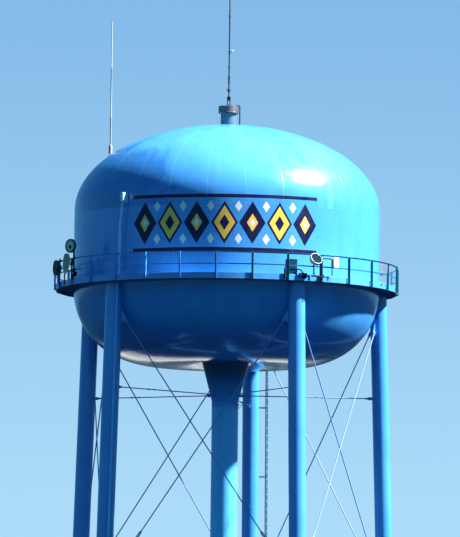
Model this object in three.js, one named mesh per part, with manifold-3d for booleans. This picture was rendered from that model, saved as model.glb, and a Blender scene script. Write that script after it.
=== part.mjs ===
// Elevated steel water tank on five tubular legs, with a central riser, tie rods,
// a railed balcony and a few aerials. Millimetres, +Z up, origin on the ground
// under the centre of the riser. The front is -Y and one leg stands at +Y.
import * as THREE from 'three';
import { mergeVertices } from 'three/addons/utils/BufferGeometryUtils.js';
import Module from 'manifold-3d';

const wasm = await Module();
wasm.setup();

// Driving dimensions
const TANK_R = 6500;
const DECK_EDGE_Z = 24600;
const PLATE = 40;
const GAP = 0.3;
const TANK_SIDES = 60;
const LEGS = 5;

// Tank outline, as heights above the ground
const KNUCKLE_R = 3120;
const KNUCKLE_Z = DECK_EDGE_Z + 104;
const KNUCKLE_ANGLE = 65;
const BELLY_R = 4200;
const COURSE_SEAM_Z = DECK_EDGE_Z + 1762;
const ROOF_SEAM_Z = DECK_EDGE_Z + 3150;
const ROOF_SPRING_Z = DECK_EDGE_Z + 3429;
const ROOF_RISE = 3712;
const VENT_HOLE_R = 250;

// Riser
const RISER_R = 566;
const RISER_CONE_FOOT_R = 585;
const RISER_CONE_TOP_R = 1014;
const RISER_SEAM_Z = 19757;
const RISER_CONE_FOOT_Z = 20050;
const CROWN_Z = 21688;
const CROWN_LAND_R = 1040;
const RISER_WALL = 30;

// Legs: the axis leans inwards going up
const LEG_R = 360;
const LEG_WALL = 30;
const LEG_SIDES = 20;
const LEG_AXIS_R = 6539;
const LEG_BATTER = 0.0327;
const FOOT_SIZE = 1150;
const FOOT_THICKNESS = 40;

// Bracing levels, where member axes meet the leg axis
const TOP_WORK_Z = 23775;
const MID_WORK_Z = 11834;
const LOW_WORK_Z = 560;
const ROD_R = 25;
const STRUT_R = 160;
const GUSSET = 24;
const GUSSET_REACH = 1000;
const GUSSET_HALF_NOSE = 80;
const GUSSET_NEAR_RISE = 180;
const GUSSET_FAR_RISE = 870;
const STAY_Z = 20245;
const STAY_R = 22;

// Balcony
const BALCONY_R = 7250;
const FASCIA_HEIGHT = 250;
const FASCIA = 12;
const FLOOR_Z = DECK_EDGE_Z + 140;
const FLOOR = 20;
const TOP_RAIL_Z = DECK_EDGE_Z + 1129;
const MID_RAIL_DROP = 490;
const POST_LEG = 80;
const POST_WALL = 10;
const POSTS = 30;

const degrees = Math.PI / 180;
const BAY = 360 / LEGS;
const HALF_BAY = BAY / 2;

// Paint and metal
const paintBlue = { color: 0x2f9fe8, roughness: 0.25, metalness: 0.0 };
const steelGrey = { color: 0x9a9fa3, roughness: 0.5, metalness: 0.6 };
const darkGrey = { color: 0x2b3036, roughness: 0.6, metalness: 0.1 };
const white = { color: 0xe8ecee, roughness: 0.45, metalness: 0.0 };

const tower = new THREE.Group();

function addNode(name, geometry, look, parent = tower) {
  const mesh = new THREE.Mesh(geometry, new THREE.MeshStandardMaterial(look));
  mesh.name = name;
  parent.add(mesh);
  return mesh;
}

// Solids that are joined or cut
function solidOf(geometry) {
  const bare = geometry.index ? geometry.toNonIndexed() : geometry.clone();
  bare.deleteAttribute('normal');
  bare.deleteAttribute('uv');
  const merged = mergeVertices(bare, 1e-3);
  return new wasm.Manifold(new wasm.Mesh({
    numProp: 3,
    vertProperties: new Float32Array(merged.attributes.position.array),
    triVerts: new Uint32Array(merged.index.array),
  }));
}

function geometryOf(solid) {
  const mesh = solid.getMesh();
  const geometry = new THREE.BufferGeometry();
  geometry.setAttribute('position', new THREE.BufferAttribute(mesh.vertProperties, 3));
  geometry.setIndex(new THREE.BufferAttribute(mesh.triVerts, 1));
  geometry.computeVertexNormals();
  return geometry;
}

function joined(geometries) {
  return geometries.map(solidOf).reduce((all, next) => all.add(next));
}

// Turned shapes: the profile lists [radius, height] pairs
function turned(profile, sides) {
  const points = profile.map(([r, z]) => new THREE.Vector2(r, z));
  return new THREE.LatheGeometry(points, sides).rotateX(Math.PI / 2);
}

function ring(innerR, outerR, lowZ, highZ, sides) {
  return turned([
    [innerR, lowZ],
    [outerR, lowZ],
    [outerR, highZ],
    [innerR, highZ],
    [innerR, lowZ],
  ], sides);
}

function box(sizeX, sizeY, sizeZ, x, y, z) {
  return new THREE.BoxGeometry(sizeX, sizeY, sizeZ).translate(x, y, z);
}

// A round bar of a given length about its own centre, along Z
function bar(radius, length, sides) {
  return new THREE.CylinderGeometry(radius, radius, length, sides).rotateX(Math.PI / 2);
}

// A flat plate standing in the X-Z plane, centred on Y = 0
function uprightPlate(outline, thickness) {
  const shape = new THREE.Shape(outline.map(([x, z]) => new THREE.Vector2(x, z)));
  const plate = new THREE.ExtrudeGeometry(shape, { depth: thickness, bevelEnabled: false });
  return plate.rotateX(Math.PI / 2).translate(0, thickness / 2, 0);
}

// A point on a circle, with the angle from the front, growing to the right
function onCircle(r, angle) {
  return new THREE.Vector2(r * Math.sin(angle * degrees), -r * Math.cos(angle * degrees));
}

// Points along an ellipse or arc, as [radius, height] pairs
function arc(centreR, centreZ, radiusR, radiusZ, from, to, steps) {
  const points = [];
  for (let i = 0; i <= steps; i += 1) {
    const a = (from + (to - from) * i / steps) * degrees;
    points.push([centreR + radiusR * Math.cos(a), centreZ + radiusZ * Math.sin(a)]);
  }
  return points;
}

function roofZ(r) {
  return ROOF_SPRING_Z + ROOF_RISE * Math.sqrt(1 - (r / TANK_R) ** 2);
}

function legAxisR(z) {
  return LEG_AXIS_R + LEG_BATTER * (DECK_EDGE_Z - z);
}

// Roof: a short upright edge and an elliptical dome with a vent hole
const roofSteps = 12;
const roofEndAngle = Math.acos(VENT_HOLE_R / TANK_R) / degrees;

function buildRoof() {
  const innerR = TANK_R - PLATE;
  const innerEnd = Math.acos(VENT_HOLE_R / innerR) / degrees;
  const outer = arc(0, ROOF_SPRING_Z, TANK_R, ROOF_RISE, 0, roofEndAngle, roofSteps);
  const inner = arc(0, ROOF_SPRING_Z, innerR, ROOF_RISE - PLATE, innerEnd, 0, roofSteps / 2);
  const foot = ROOF_SEAM_Z + GAP;
  const profile = [[innerR, foot], [TANK_R, foot], ...outer, ...inner, [innerR, foot]];
  addNode('roof_dome', turned(profile, TANK_SIDES), paintBlue);
}

function buildShell() {
  const innerR = TANK_R - PLATE;
  const upper = ring(innerR, TANK_R, COURSE_SEAM_Z + GAP, ROOF_SEAM_Z, TANK_SIDES);
  const lower = ring(innerR, TANK_R, KNUCKLE_Z + GAP, COURSE_SEAM_Z, TANK_SIDES);
  addNode('shell_upper_course', upper, paintBlue);
  addNode('shell_lower_course', lower, paintBlue);
}

// Bottom: a knuckle, a wider belly arc down to the lowest ring, and a crown that
// rises again to a flat land around the riser
const knuckleCentreR = TANK_R - KNUCKLE_R;
const bellyCentreR = knuckleCentreR - (BELLY_R - KNUCKLE_R) * Math.cos(KNUCKLE_ANGLE * degrees);
const bellyCentreZ = KNUCKLE_Z + (BELLY_R - KNUCKLE_R) * Math.sin(KNUCKLE_ANGLE * degrees);
const crownInnerR = RISER_CONE_TOP_R - RISER_WALL;
const crownRise = CROWN_Z - (bellyCentreZ - BELLY_R);
const crownRun = bellyCentreR - CROWN_LAND_R;
const crownArcR = (crownRun ** 2 + crownRise ** 2) / (2 * crownRise);
const crownTurn = Math.asin(crownRun / crownArcR) / degrees;

// The bottom's curve from the crown outwards, moved out from the plate by a distance
function bottomCurve(out, crownSteps, bellySteps, knuckleSteps) {
  const crownR = crownArcR + out;
  const crownZ = bellyCentreZ - BELLY_R + crownArcR;
  const bellyR = BELLY_R + out;
  const knuckleR = KNUCKLE_R + out;
  return [
    ...arc(bellyCentreR, crownZ, crownR, crownR, -90 - crownTurn, -90, crownSteps),
    ...arc(bellyCentreR, bellyCentreZ, bellyR, bellyR, -90, -KNUCKLE_ANGLE, bellySteps).slice(1),
    ...arc(knuckleCentreR, KNUCKLE_Z, knuckleR, knuckleR, -KNUCKLE_ANGLE, 0, knuckleSteps).slice(1),
  ];
}

function buildBottom() {
  const outer = bottomCurve(0, 2, 3, 9);
  const inner = bottomCurve(-PLATE, 1, 2, 5).reverse();
  const rim = [crownInnerR, CROWN_Z];
  const profile = [rim, ...outer, ...inner, [crownInnerR, CROWN_Z + PLATE], rim];
  addNode('tank_bottom', turned(profile, TANK_SIDES), paintBlue);
}

// The space that the tank takes up, which copes whatever is welded against it
function tankSpaceGeometry() {
  const roof = arc(0, ROOF_SPRING_Z, TANK_R + GAP, ROOF_RISE + GAP, 0, roofEndAngle, roofSteps);
  const profile = [
    [0, CROWN_Z - GAP],
    [crownInnerR, CROWN_Z - GAP],
    ...bottomCurve(GAP, 2, 3, 9),
    ...roof,
    [0, roof[roofSteps][1]],
  ];
  return turned(profile, TANK_SIDES);
}

function tankSpace() {
  return solidOf(tankSpaceGeometry());
}

function buildRiser() {
  const sides = 36;
  const cone = turned([
    [RISER_R - RISER_WALL, RISER_SEAM_Z + GAP],
    [RISER_R, RISER_SEAM_Z + GAP],
    [RISER_CONE_FOOT_R, RISER_CONE_FOOT_Z],
    [RISER_CONE_TOP_R, CROWN_Z - GAP],
    [RISER_CONE_TOP_R - RISER_WALL, CROWN_Z - GAP],
    [RISER_CONE_FOOT_R - RISER_WALL, RISER_CONE_FOOT_Z],
    [RISER_R - RISER_WALL, RISER_SEAM_Z + GAP],
  ], sides);
  addNode('riser_cone', cone, paintBlue);
  const footR = RISER_R + 180;
  const pipe = turned([
    [0, 0],
    [footR, 0],
    [footR, FOOT_THICKNESS],
    [RISER_R, FOOT_THICKNESS],
    [RISER_R, RISER_SEAM_Z],
    [RISER_R - RISER_WALL, RISER_SEAM_Z],
    [RISER_R - RISER_WALL, FOOT_THICKNESS],
    [0, FOOT_THICKNESS],
  ], sides);
  addNode('riser_pipe', pipe, paintBlue);
}

// Bays: upright panels between two legs, each drawn flat and then set in place
const bayTilt = Math.atan(LEG_BATTER * Math.cos(HALF_BAY * degrees));

function halfWidth(z) {
  return legAxisR(z) * Math.sin(HALF_BAY * degrees);
}

function alongBay(z) {
  return z / Math.cos(bayTilt);
}

function bayPlacement(middleAngle) {
  const place = new THREE.Group();
  place.rotation.z = middleAngle * degrees;
  const panel = new THREE.Group();
  panel.position.y = -legAxisR(0) * Math.cos(HALF_BAY * degrees);
  panel.rotation.x = -bayTilt;
  place.add(panel);
  place.updateMatrixWorld(true);
  return { place, panel };
}

// A rod's line across its bay, from one leg axis at a level to the other leg axis
function rodLine(fromZ, toZ) {
  const from = new THREE.Vector2(-halfWidth(fromZ), alongBay(fromZ));
  const to = new THREE.Vector2(halfWidth(toZ), alongBay(toZ));
  const direction = to.clone().sub(from).normalize();
  return { from, to, direction };
}

// Gusset at the left leg of a bay: a plate that narrows to a nose across its rod
function gussetGeometry(line) {
  const { from, direction } = line;
  const side = new THREE.Vector2(direction.y, -direction.x);
  const nose = from.clone().addScaledVector(direction, GUSSET_REACH);
  const rise = Math.sign(direction.y);
  const root = LEG_R - LEG_WALL / 2;
  const near = from.clone().add(new THREE.Vector2(root, rise * GUSSET_NEAR_RISE));
  const far = from.clone().add(new THREE.Vector2(root, rise * GUSSET_FAR_RISE));
  const tipA = nose.clone().addScaledVector(side, GUSSET_HALF_NOSE);
  const tipB = nose.clone().addScaledVector(side, -GUSSET_HALF_NOSE);
  const [nearTip, farTip] = tipA.y * rise < tipB.y * rise ? [tipA, tipB] : [tipB, tipA];
  const corners = [near, nearTip, farTip, far];
  return uprightPlate(corners.map((p) => [p.x, p.y]), GUSSET);
}

const rodLines = [
  rodLine(TOP_WORK_Z, MID_WORK_Z),
  rodLine(MID_WORK_Z, TOP_WORK_Z),
  rodLine(MID_WORK_Z, LOW_WORK_Z),
  rodLine(LOW_WORK_Z, MID_WORK_Z),
];

// Things that lean with a leg are drawn upright around the leg's axis and then tilted
const legTilt = Math.atan(LEG_BATTER);

function leanWithLeg(geometry) {
  return geometry.rotateX(-legTilt).translate(0, -legAxisR(0), 0);
}

// Leg at the front; the others are turned copies
function legGeometry(cutter) {
  const topZ = FLOOR_Z - FLOOR - GAP;
  const overrun = 200;
  const tube = leanWithLeg(
    ring(LEG_R - LEG_WALL, LEG_R, -overrun, topZ + overrun, LEG_SIDES));
  const span = 4 * LEG_R;
  const centreZ = (FOOT_THICKNESS / 2 + topZ) / 2;
  const slab = box(span, span, topZ - FOOT_THICKNESS / 2, 0, -legAxisR(topZ / 2), centreZ);
  const copeFootZ = 22550;
  const copeShoulderZ = 23200;
  const copeDepth = 200;
  const copeOverrun = 600;
  const copeInnerR = legAxisR(copeFootZ) - LEG_R - 20;
  const cope = uprightPlate([
    [-copeInnerR, copeFootZ],
    [-copeInnerR - copeDepth, copeShoulderZ],
    [-copeInnerR - copeDepth, KNUCKLE_Z],
    [-copeInnerR + copeOverrun, KNUCKLE_Z],
    [-copeInnerR + copeOverrun, copeFootZ],
  ], span).rotateZ(Math.PI / 2);
  let leg = solidOf(tube).intersect(solidOf(slab)).subtract(solidOf(cope));
  for (const middle of [HALF_BAY, -HALF_BAY]) {
    const { panel } = bayPlacement(middle);
    for (const line of rodLines) {
      const plate = gussetGeometry(line);
      if (middle < 0) {
        plate.rotateZ(Math.PI);
      }
      leg = leg.add(solidOf(plate.applyMatrix4(panel.matrixWorld)));
    }
  }
  const foot = box(FOOT_SIZE, FOOT_SIZE, FOOT_THICKNESS, 0, -legAxisR(0), FOOT_THICKNESS / 2);
  return geometryOf(leg.add(solidOf(foot)).subtract(cutter));
}

const legNames = ['front_right', 'right', 'back', 'left', 'front_left'];
const bayNames = ['right_front', 'right_back', 'left_back', 'left_front', 'front'];

function buildLegs() {
  const geometry = legGeometry(tankSpace());
  legNames.forEach((name, i) => {
    const leg = addNode(`${name}_leg`, geometry.clone(), paintBlue);
    leg.rotation.z = (HALF_BAY + BAY * i) * degrees;
  });
}

// Tie rods pass each other at the middle of a panel, one on each side of its plane
function addRod(name, line, side, parent) {
  const reach = GUSSET_REACH + GAP;
  const length = line.from.distanceTo(line.to) - 2 * reach;
  const rod = addNode(name, bar(ROD_R, length, 8), paintBlue, parent);
  const middle = line.from.clone().add(line.to).multiplyScalar(0.5);
  rod.position.set(middle.x, side * (ROD_R + 1), middle.y);
  rod.rotation.y = Math.atan2(line.direction.x, line.direction.y);
}

function buildBays() {
  bayNames.forEach((name, i) => {
    const { place, panel } = bayPlacement(BAY * (i + 1));
    tower.add(place);
    addRod(`${name}_upper_rod_a`, rodLines[0], 1, panel);
    addRod(`${name}_upper_rod_b`, rodLines[1], -1, panel);
    addRod(`${name}_lower_rod_a`, rodLines[2], 1, panel);
    addRod(`${name}_lower_rod_b`, rodLines[3], -1, panel);
    const strutHalf = halfWidth(MID_WORK_Z + STRUT_R) - LEG_R - 2 * GAP;
    const strut = addNode(`${name}_strut`, bar(STRUT_R, 2 * strutHalf, 12), paintBlue, panel);
    strut.position.z = alongBay(MID_WORK_Z);
    strut.rotation.y = Math.PI / 2;
  });
}

// Level stays between the riser and each leg
function buildStays() {
  const coneSlope = (RISER_CONE_TOP_R - RISER_CONE_FOOT_R) / (CROWN_Z - RISER_CONE_FOOT_Z);
  const innerR = RISER_CONE_FOOT_R + coneSlope * (STAY_Z + STAY_R - RISER_CONE_FOOT_Z);
  const outerR = legAxisR(STAY_Z) - LEG_R;
  const length = outerR - innerR - 2;
  legNames.forEach((name, i) => {
    const place = new THREE.Group();
    place.rotation.z = (HALF_BAY + BAY * i) * degrees;
    tower.add(place);
    const stay = addNode(`${name}_riser_stay`, bar(STAY_R, length, 8), paintBlue, place);
    stay.position.set(0, -(innerR + outerR) / 2, STAY_Z);
    stay.rotation.x = Math.PI / 2;
  });
}

// Balcony: floor plate and fascia as one welded ring, with a hatch for the ladder
const LADDER_X = 660;
const LADDER_RAIL_OUT = 266;
const LADDER_HALF_WIDTH = 200;
const HATCH = { sizeX: 720, sizeY: 560, x: LADDER_X + 270, y: 6840 };
const RAIL_HEIGHT = 50;
const RAIL_INWARD = 46;
const RAIL_OUTWARD = 4;

function buildBalcony() {
  const innerR = TANK_R + GAP;
  const floor = ring(innerR, BALCONY_R, FLOOR_Z - FLOOR, FLOOR_Z, TANK_SIDES);
  const fascia = ring(
    BALCONY_R - FASCIA, BALCONY_R, DECK_EDGE_Z, DECK_EDGE_Z + FASCIA_HEIGHT, TANK_SIDES);
  const hatch = box(HATCH.sizeX, HATCH.sizeY, 10 * FLOOR, HATCH.x, HATCH.y, FLOOR_Z);
  const balcony = solidOf(floor).add(solidOf(fascia)).subtract(solidOf(hatch));
  addNode('balcony_floor', geometryOf(balcony), paintBlue);
}

function angleIron(lowZ, highZ) {
  const outline = [
    [-POST_LEG / 2, 0],
    [POST_LEG / 2, 0],
    [POST_LEG / 2, -POST_LEG],
    [POST_LEG / 2 - POST_WALL, -POST_LEG],
    [POST_LEG / 2 - POST_WALL, -POST_WALL],
    [-POST_LEG / 2, -POST_WALL],
  ];
  const shape = new THREE.Shape(outline.map(([x, y]) => new THREE.Vector2(x, y)));
  const post = new THREE.ExtrudeGeometry(shape, { depth: highZ - lowZ, bevelEnabled: false });
  return post.translate(0, 0, lowZ);
}

function buildRailing() {
  const faceR = BALCONY_R + GAP;
  const midZ = TOP_RAIL_Z - MID_RAIL_DROP;
  const outerR = faceR + RAIL_OUTWARD;
  const topRail = ring(
    faceR - RAIL_INWARD, outerR, TOP_RAIL_Z - RAIL_HEIGHT, TOP_RAIL_Z, TANK_SIDES);
  const midRail = ring(faceR - 12, outerR, midZ - RAIL_HEIGHT, midZ, TANK_SIDES);
  let railing = solidOf(topRail).add(solidOf(midRail));
  const spacing = 360 / POSTS;
  for (let i = 0; i < POSTS; i += 1) {
    const post = angleIron(DECK_EDGE_Z, TOP_RAIL_Z - 5)
      .translate(0, -faceR, 0)
      .rotateZ((spacing / 2 + spacing * i) * degrees);
    railing = railing.add(solidOf(post));
  }
  addNode('railing', geometryOf(railing), paintBlue);
}

// Half width of a leg's polygon section close to its centre line
function legHalfWidthAt(y) {
  const sector = 2 * Math.PI / LEG_SIDES;
  return LEG_R * (1 - Math.abs(y) * (1 - Math.cos(sector)) / (LEG_R * Math.sin(sector)));
}

// Ladder beside the back leg
function buildLadder() {
  const lowZ = 300;
  const highZ = FLOOR_Z + 1000;
  const rungPitch = 320;
  const bracketPitch = 3000;
  const lowestBracketZ = 2200;
  const railY = [-LADDER_RAIL_OUT - LADDER_HALF_WIDTH, LADDER_HALF_WIDTH - LADDER_RAIL_OUT];
  const stileWidth = 60;
  const stileThickness = 12;
  const rung = 24;
  const parts = railY.map(
    (y) => box(stileWidth, stileThickness, highZ - lowZ, -LADDER_X, y, (lowZ + highZ) / 2));
  for (let z = lowZ + rungPitch / 2; z < highZ - rungPitch / 4; z += rungPitch) {
    parts.push(box(rung, 2 * LADDER_HALF_WIDTH, rung, -LADDER_X, -LADDER_RAIL_OUT, z));
  }
  const bracketY = railY[1];
  const bracketHalf = stileThickness / 2;
  const reach = LADDER_X - legHalfWidthAt(Math.abs(bracketY) - bracketHalf) - GAP;
  for (let z = lowestBracketZ; z < DECK_EDGE_Z - 1000; z += bracketPitch) {
    parts.push(box(reach, stileThickness, stileWidth, reach / 2 - LADDER_X, bracketY, z));
  }
  const ladder = leanWithLeg(geometryOf(joined(parts)));
  addNode('back_leg_ladder', ladder, paintBlue).rotation.z = Math.PI;
}

// Overflow pipe: a weir box at the roof edge, a run beside the shell whose top leans
// to the box, and a run on the leg
const OVERFLOW_R = 50;
const OVERFLOW_SHELL_R = 6700;
const OVERFLOW_ANGLE = -32.4;
const OVERFLOW_BEND_Z = 26900;
const WEIR = { width: 170, height: 400, x: 150, z: ROOF_SEAM_Z + 380 };
const OVERFLOW_LEG_TURN = 63;

// A round bar between two points that lie in the same upright plane facing the front
function slantedBar(radius, fromX, fromZ, toX, toZ, y) {
  return bar(radius, Math.hypot(toX - fromX, toZ - fromZ), 12)
    .rotateY(Math.atan2(toX - fromX, toZ - fromZ))
    .translate((fromX + toX) / 2, y, (fromZ + toZ) / 2);
}

function buildOverflow() {
  const foot = FLOOR_Z + GAP;
  const faceR = TANK_R - 20;
  const reach = OVERFLOW_SHELL_R - faceR;
  const weirDepth = reach + WEIR.width / 2;
  const bendZ = OVERFLOW_BEND_Z;
  const runTop = bendZ + 10;
  const parts = [
    bar(OVERFLOW_R, runTop - foot, 12).translate(0, -OVERFLOW_SHELL_R, (runTop + foot) / 2),
    slantedBar(OVERFLOW_R, 0, bendZ, WEIR.x, WEIR.z - 110, -OVERFLOW_SHELL_R),
    box(WEIR.width, weirDepth, WEIR.height, WEIR.x, -faceR - weirDepth / 2, WEIR.z),
  ];
  for (const z of [FLOOR_Z + 600, COURSE_SEAM_Z + 300]) {
    parts.push(box(60, reach, 40, 0, -faceR - reach / 2, z));
  }
  const turn = OVERFLOW_ANGLE * degrees;
  const upper = joined(parts).subtract(solidOf(tankSpaceGeometry().rotateZ(-turn)));
  addNode('overflow_pipe_upper', geometryOf(upper), paintBlue).rotation.z = turn;

  const flatR = LEG_R * Math.cos(Math.PI / LEG_SIDES) + GAP;
  const standOff = 25;
  const strap = 60;
  const strapPitch = 2900;
  const axisR = flatR + standOff + OVERFLOW_R;
  const lowZ = 400;
  const highZ = FLOOR_Z - FLOOR - 10;
  const run = [bar(OVERFLOW_R, highZ - lowZ, 12).translate(0, -axisR, (highZ + lowZ) / 2)];
  for (let z = lowZ + 600; z < highZ; z += strapPitch) {
    run.push(box(strap, axisR - flatR, strap, 0, -(axisR + flatR) / 2, z));
  }
  const lower = geometryOf(joined(run)).rotateZ(OVERFLOW_LEG_TURN * degrees);
  addNode('overflow_pipe_lower', leanWithLeg(lower), paintBlue).rotation.z = -HALF_BAY * degrees;
}

// Roof vent and its cap
const VENT_R = 335;
const VENT_TOP_Z = DECK_EDGE_Z + 7684;
const CAP_R = 440;
const CAP_TOP_Z = DECK_EDGE_Z + 8000;
const CAP_CHAMFER_R = 60;
const CAP_CHAMFER_Z = 25;

// Mast: a fork on the cap, a tube with a collar and a sleeve, and a small side antenna
const FORK_HEIGHT = 400;
const FORK_HALF_SPREAD = 55;
const MAST_R = 32;
const MAST_TOP_Z = 37900;
const MAST_ARM = 150;
const MAST_ARM_Z = 34960;

// Whip aerial on the left of the roof, with a thicker base
const WHIP_R = 5070;
const WHIP_ANGLE = -70.5;
const WHIP_TOP_Z = 36050;
const WHIP_TUBE_R = 36;
const WHIP_BASE_R = 75;
const WHIP_BASE_HEIGHT = 500;

function uprightBar(radius, lowZ, highZ, x = 0, y = 0) {
  return bar(radius, highZ - lowZ, 12).translate(x, y, (lowZ + highZ) / 2);
}

function buildRoofGear() {
  const sides = 30;
  const ventTube = ring(VENT_R - 25, VENT_R, roofZ(VENT_R) - 10, VENT_TOP_Z, sides);
  addNode('roof_vent', geometryOf(solidOf(ventTube).subtract(tankSpace())), paintBlue);
  const cap = turned([
    [0, VENT_TOP_Z + GAP],
    [CAP_R, VENT_TOP_Z + GAP],
    [CAP_R, CAP_TOP_Z - CAP_CHAMFER_Z],
    [CAP_R - CAP_CHAMFER_R, CAP_TOP_Z],
    [0, CAP_TOP_Z],
  ], sides);
  addNode('vent_cap', cap, steelGrey);

  const footZ = CAP_TOP_Z + GAP;
  const forkTop = CAP_TOP_Z + FORK_HEIGHT;
  const forkLegHeight = FORK_HEIGHT - 20;
  const forkZ = forkTop - forkLegHeight / 2 - 10;
  const mast = joined([
    box(200, 120, 30, 0, 0, footZ + 15),
    box(36, 60, forkLegHeight, -FORK_HALF_SPREAD, 0, forkZ),
    box(36, 60, forkLegHeight, FORK_HALF_SPREAD, 0, forkZ),
    box(150, 90, 70, 0, 0, forkTop - 35),
    uprightBar(MAST_R, forkTop - 20, MAST_TOP_Z),
    uprightBar(75, forkTop + 200, forkTop + 340),
    uprightBar(45, forkTop + 550, forkTop + 930),
    box(MAST_ARM, 20, 20, MAST_ARM / 2, 0, MAST_ARM_Z),
    uprightBar(38, MAST_ARM_Z - 85, MAST_ARM_Z + 85, MAST_ARM),
  ]);
  addNode('roof_mast', geometryOf(mast), darkGrey);

  const whipFoot = roofZ(WHIP_R + WHIP_BASE_R) - 10;
  const whipTurn = WHIP_ANGLE * degrees;
  const whip = joined([
    uprightBar(WHIP_TUBE_R, whipFoot, WHIP_TOP_Z, 0, -WHIP_R),
    uprightBar(WHIP_BASE_R, whipFoot, whipFoot + WHIP_BASE_HEIGHT, 0, -WHIP_R),
  ]).subtract(solidOf(tankSpaceGeometry().rotateZ(-whipTurn)));
  addNode('whip_aerial', geometryOf(whip), white).rotation.z = whipTurn;
}

// Aerials on the railing. Each is drawn at the front and turned to the middle of a
// flat of the rails, where its clamps meet the rails face to face.
const railFlatR = (BALCONY_R + GAP + 4) * Math.cos(Math.PI / TANK_SIDES) + GAP;
const poleAxisR = BALCONY_R + POST_LEG + 35;
const POLE_R = 30;
const railLevels = [TOP_RAIL_Z - 25, TOP_RAIL_Z - MID_RAIL_DROP - 25];

function clamps(x, toR) {
  const depth = toR - railFlatR;
  return railLevels.map((z) => box(50, depth, 40, x, -railFlatR - depth / 2, z));
}

function pole(x, lowZ, highZ) {
  return bar(POLE_R, highZ - lowZ, 12).translate(x, -poleAxisR, (lowZ + highZ) / 2);
}

function addRailGear(name, parts, look, angle) {
  addNode(name, geometryOf(joined(parts)), look).rotation.z = angle * degrees;
}

// A dish or drum with its axis level, turned to an angle from its own radial line.
// It narrows towards the pole when its back is smaller than its face.
function drum(radius, depth, turn, tilt, distance, z, backRadius = radius) {
  return new THREE.CylinderGeometry(radius, backRadius, depth, 24)
    .rotateX(Math.PI / 2)
    .translate(0, 0, distance)
    .rotateX(Math.PI / 2 - tilt * degrees)
    .rotateZ(turn * degrees)
    .translate(0, -poleAxisR, z);
}

function buildRailGear() {
  const poleFoot = DECK_EDGE_Z + FASCIA_HEIGHT + 10;
  const poleFlat = POLE_R * Math.cos(Math.PI / 12) + GAP;

  const drumZ = 26185;
  const drumTurn = 15;
  addRailGear('left_aerial_pole', [
    pole(0, poleFoot, drumZ + 65),
    ...clamps(0, poleAxisR),
  ], darkGrey, -51);
  addRailGear('left_drum_aerial', [
    drum(294, 150, drumTurn, 0, poleFlat + 135, drumZ),
    drum(60, 80, drumTurn, 0, poleFlat + 40, drumZ),
  ], darkGrey, -51);

  // A long flat antenna that tapers at both ends and faces more to the front
  const bladeR = poleAxisR + 75;
  const bladeZ = 25520;
  const blade = uprightPlate([
    [-94, -390],
    [40, -390],
    [94, -215],
    [180, 134],
    [94, 417],
    [-94, 403],
    [-150, 107],
    [-175, -215],
  ], 110).rotateZ(40 * degrees);
  addRailGear('left_grey_aerial', [
    blade.translate(110, -bladeR, bladeZ),
    ...clamps(60, bladeR),
  ], steelGrey, -57);

  const shallowZ = 25384;
  addRailGear('left_dark_aerial', [
    drum(325, 150, 0, 0, 150, shallowZ),
    drum(300, 140, 0, 0, 10, shallowZ, 110),
    pole(0, railLevels[1] - 110, railLevels[0] + 85),
    ...clamps(0, poleAxisR),
  ], darkGrey, -63);

  const dishZ = 25400;
  const dishTurn = -8;
  const dishTilt = 25;
  addRailGear('right_dish_aerial', [
    pole(0, poleFoot, dishZ + 20),
    drum(258, 170, dishTurn, dishTilt, 170, dishZ),
    drum(50, 120, dishTurn, dishTilt, 60, dishZ),
    ...clamps(0, poleAxisR),
  ], white, 39);

  // Two poles with cross bars: the low bar runs on to the left of the frame
  const frameTop = 25585;
  const frameLeft = -365;
  const frameRight = 141;
  const frameWidth = frameRight - frameLeft + 54;
  const frameX = (frameLeft + frameRight) / 2;
  const lowBar = 900;
  addRailGear('right_aerial_frame', [
    pole(frameLeft, DECK_EDGE_Z - 20, frameTop),
    pole(frameRight, poleFoot, frameTop),
    box(frameWidth, 50, 50, frameX, -poleAxisR, frameTop - 25),
    box(frameWidth, 40, 40, frameX, -poleAxisR, railLevels[1]),
    box(lowBar, 50, 60, frameLeft - 120, -poleAxisR, poleFoot - 60),
    ...clamps(-200, poleAxisR).slice(1),
    ...clamps(100, poleAxisR).slice(1),
  ], darkGrey, 45);
  addRailGear('right_white_aerial', [
    box(260, 60, 440, 336, -poleAxisR, 25430),
    ...clamps(300, poleAxisR).slice(1),
  ], white, 45);

  // An open panel frame with its mounting bar
  const panelWidth = 850;
  const panelX = -270;
  const panelLow = 25300;
  const panelHigh = 25590;
  const panelBar = 30;
  const uprights = [-410, 0, 410].map((x) => box(
    panelBar, panelBar, panelHigh - panelLow + panelBar, panelX + x, -poleAxisR, 25445));
  addRailGear('right_panel_aerial', [
    box(panelWidth, panelBar, panelBar, panelX, -poleAxisR, panelHigh),
    box(panelWidth, panelBar, panelBar, panelX, -poleAxisR, panelLow),
    ...uprights,
    box(40, 40, 420, -80, -poleAxisR, 25400),
    ...clamps(-80, poleAxisR).slice(1),
  ], darkGrey, 75);

  const cabinet = { width: 450, depth: 260, height: 740, axisR: BALCONY_R - 220 };
  const cabinetZ = FLOOR_Z + GAP + cabinet.height / 2;
  addRailGear('equipment_cabinet', [
    box(cabinet.width, cabinet.depth, cabinet.height, 0, -cabinet.axisR, cabinetZ),
  ], paintBlue, 32);
}

buildRoof();
buildShell();
buildBottom();
buildRiser();
buildLegs();
buildBays();
buildStays();
buildBalcony();
buildRailing();
buildLadder();
buildOverflow();
buildRoofGear();
buildRailGear();

export default tower;
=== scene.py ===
import math

import bmesh
import bpy
from mathutils import Matrix, Vector


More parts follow.
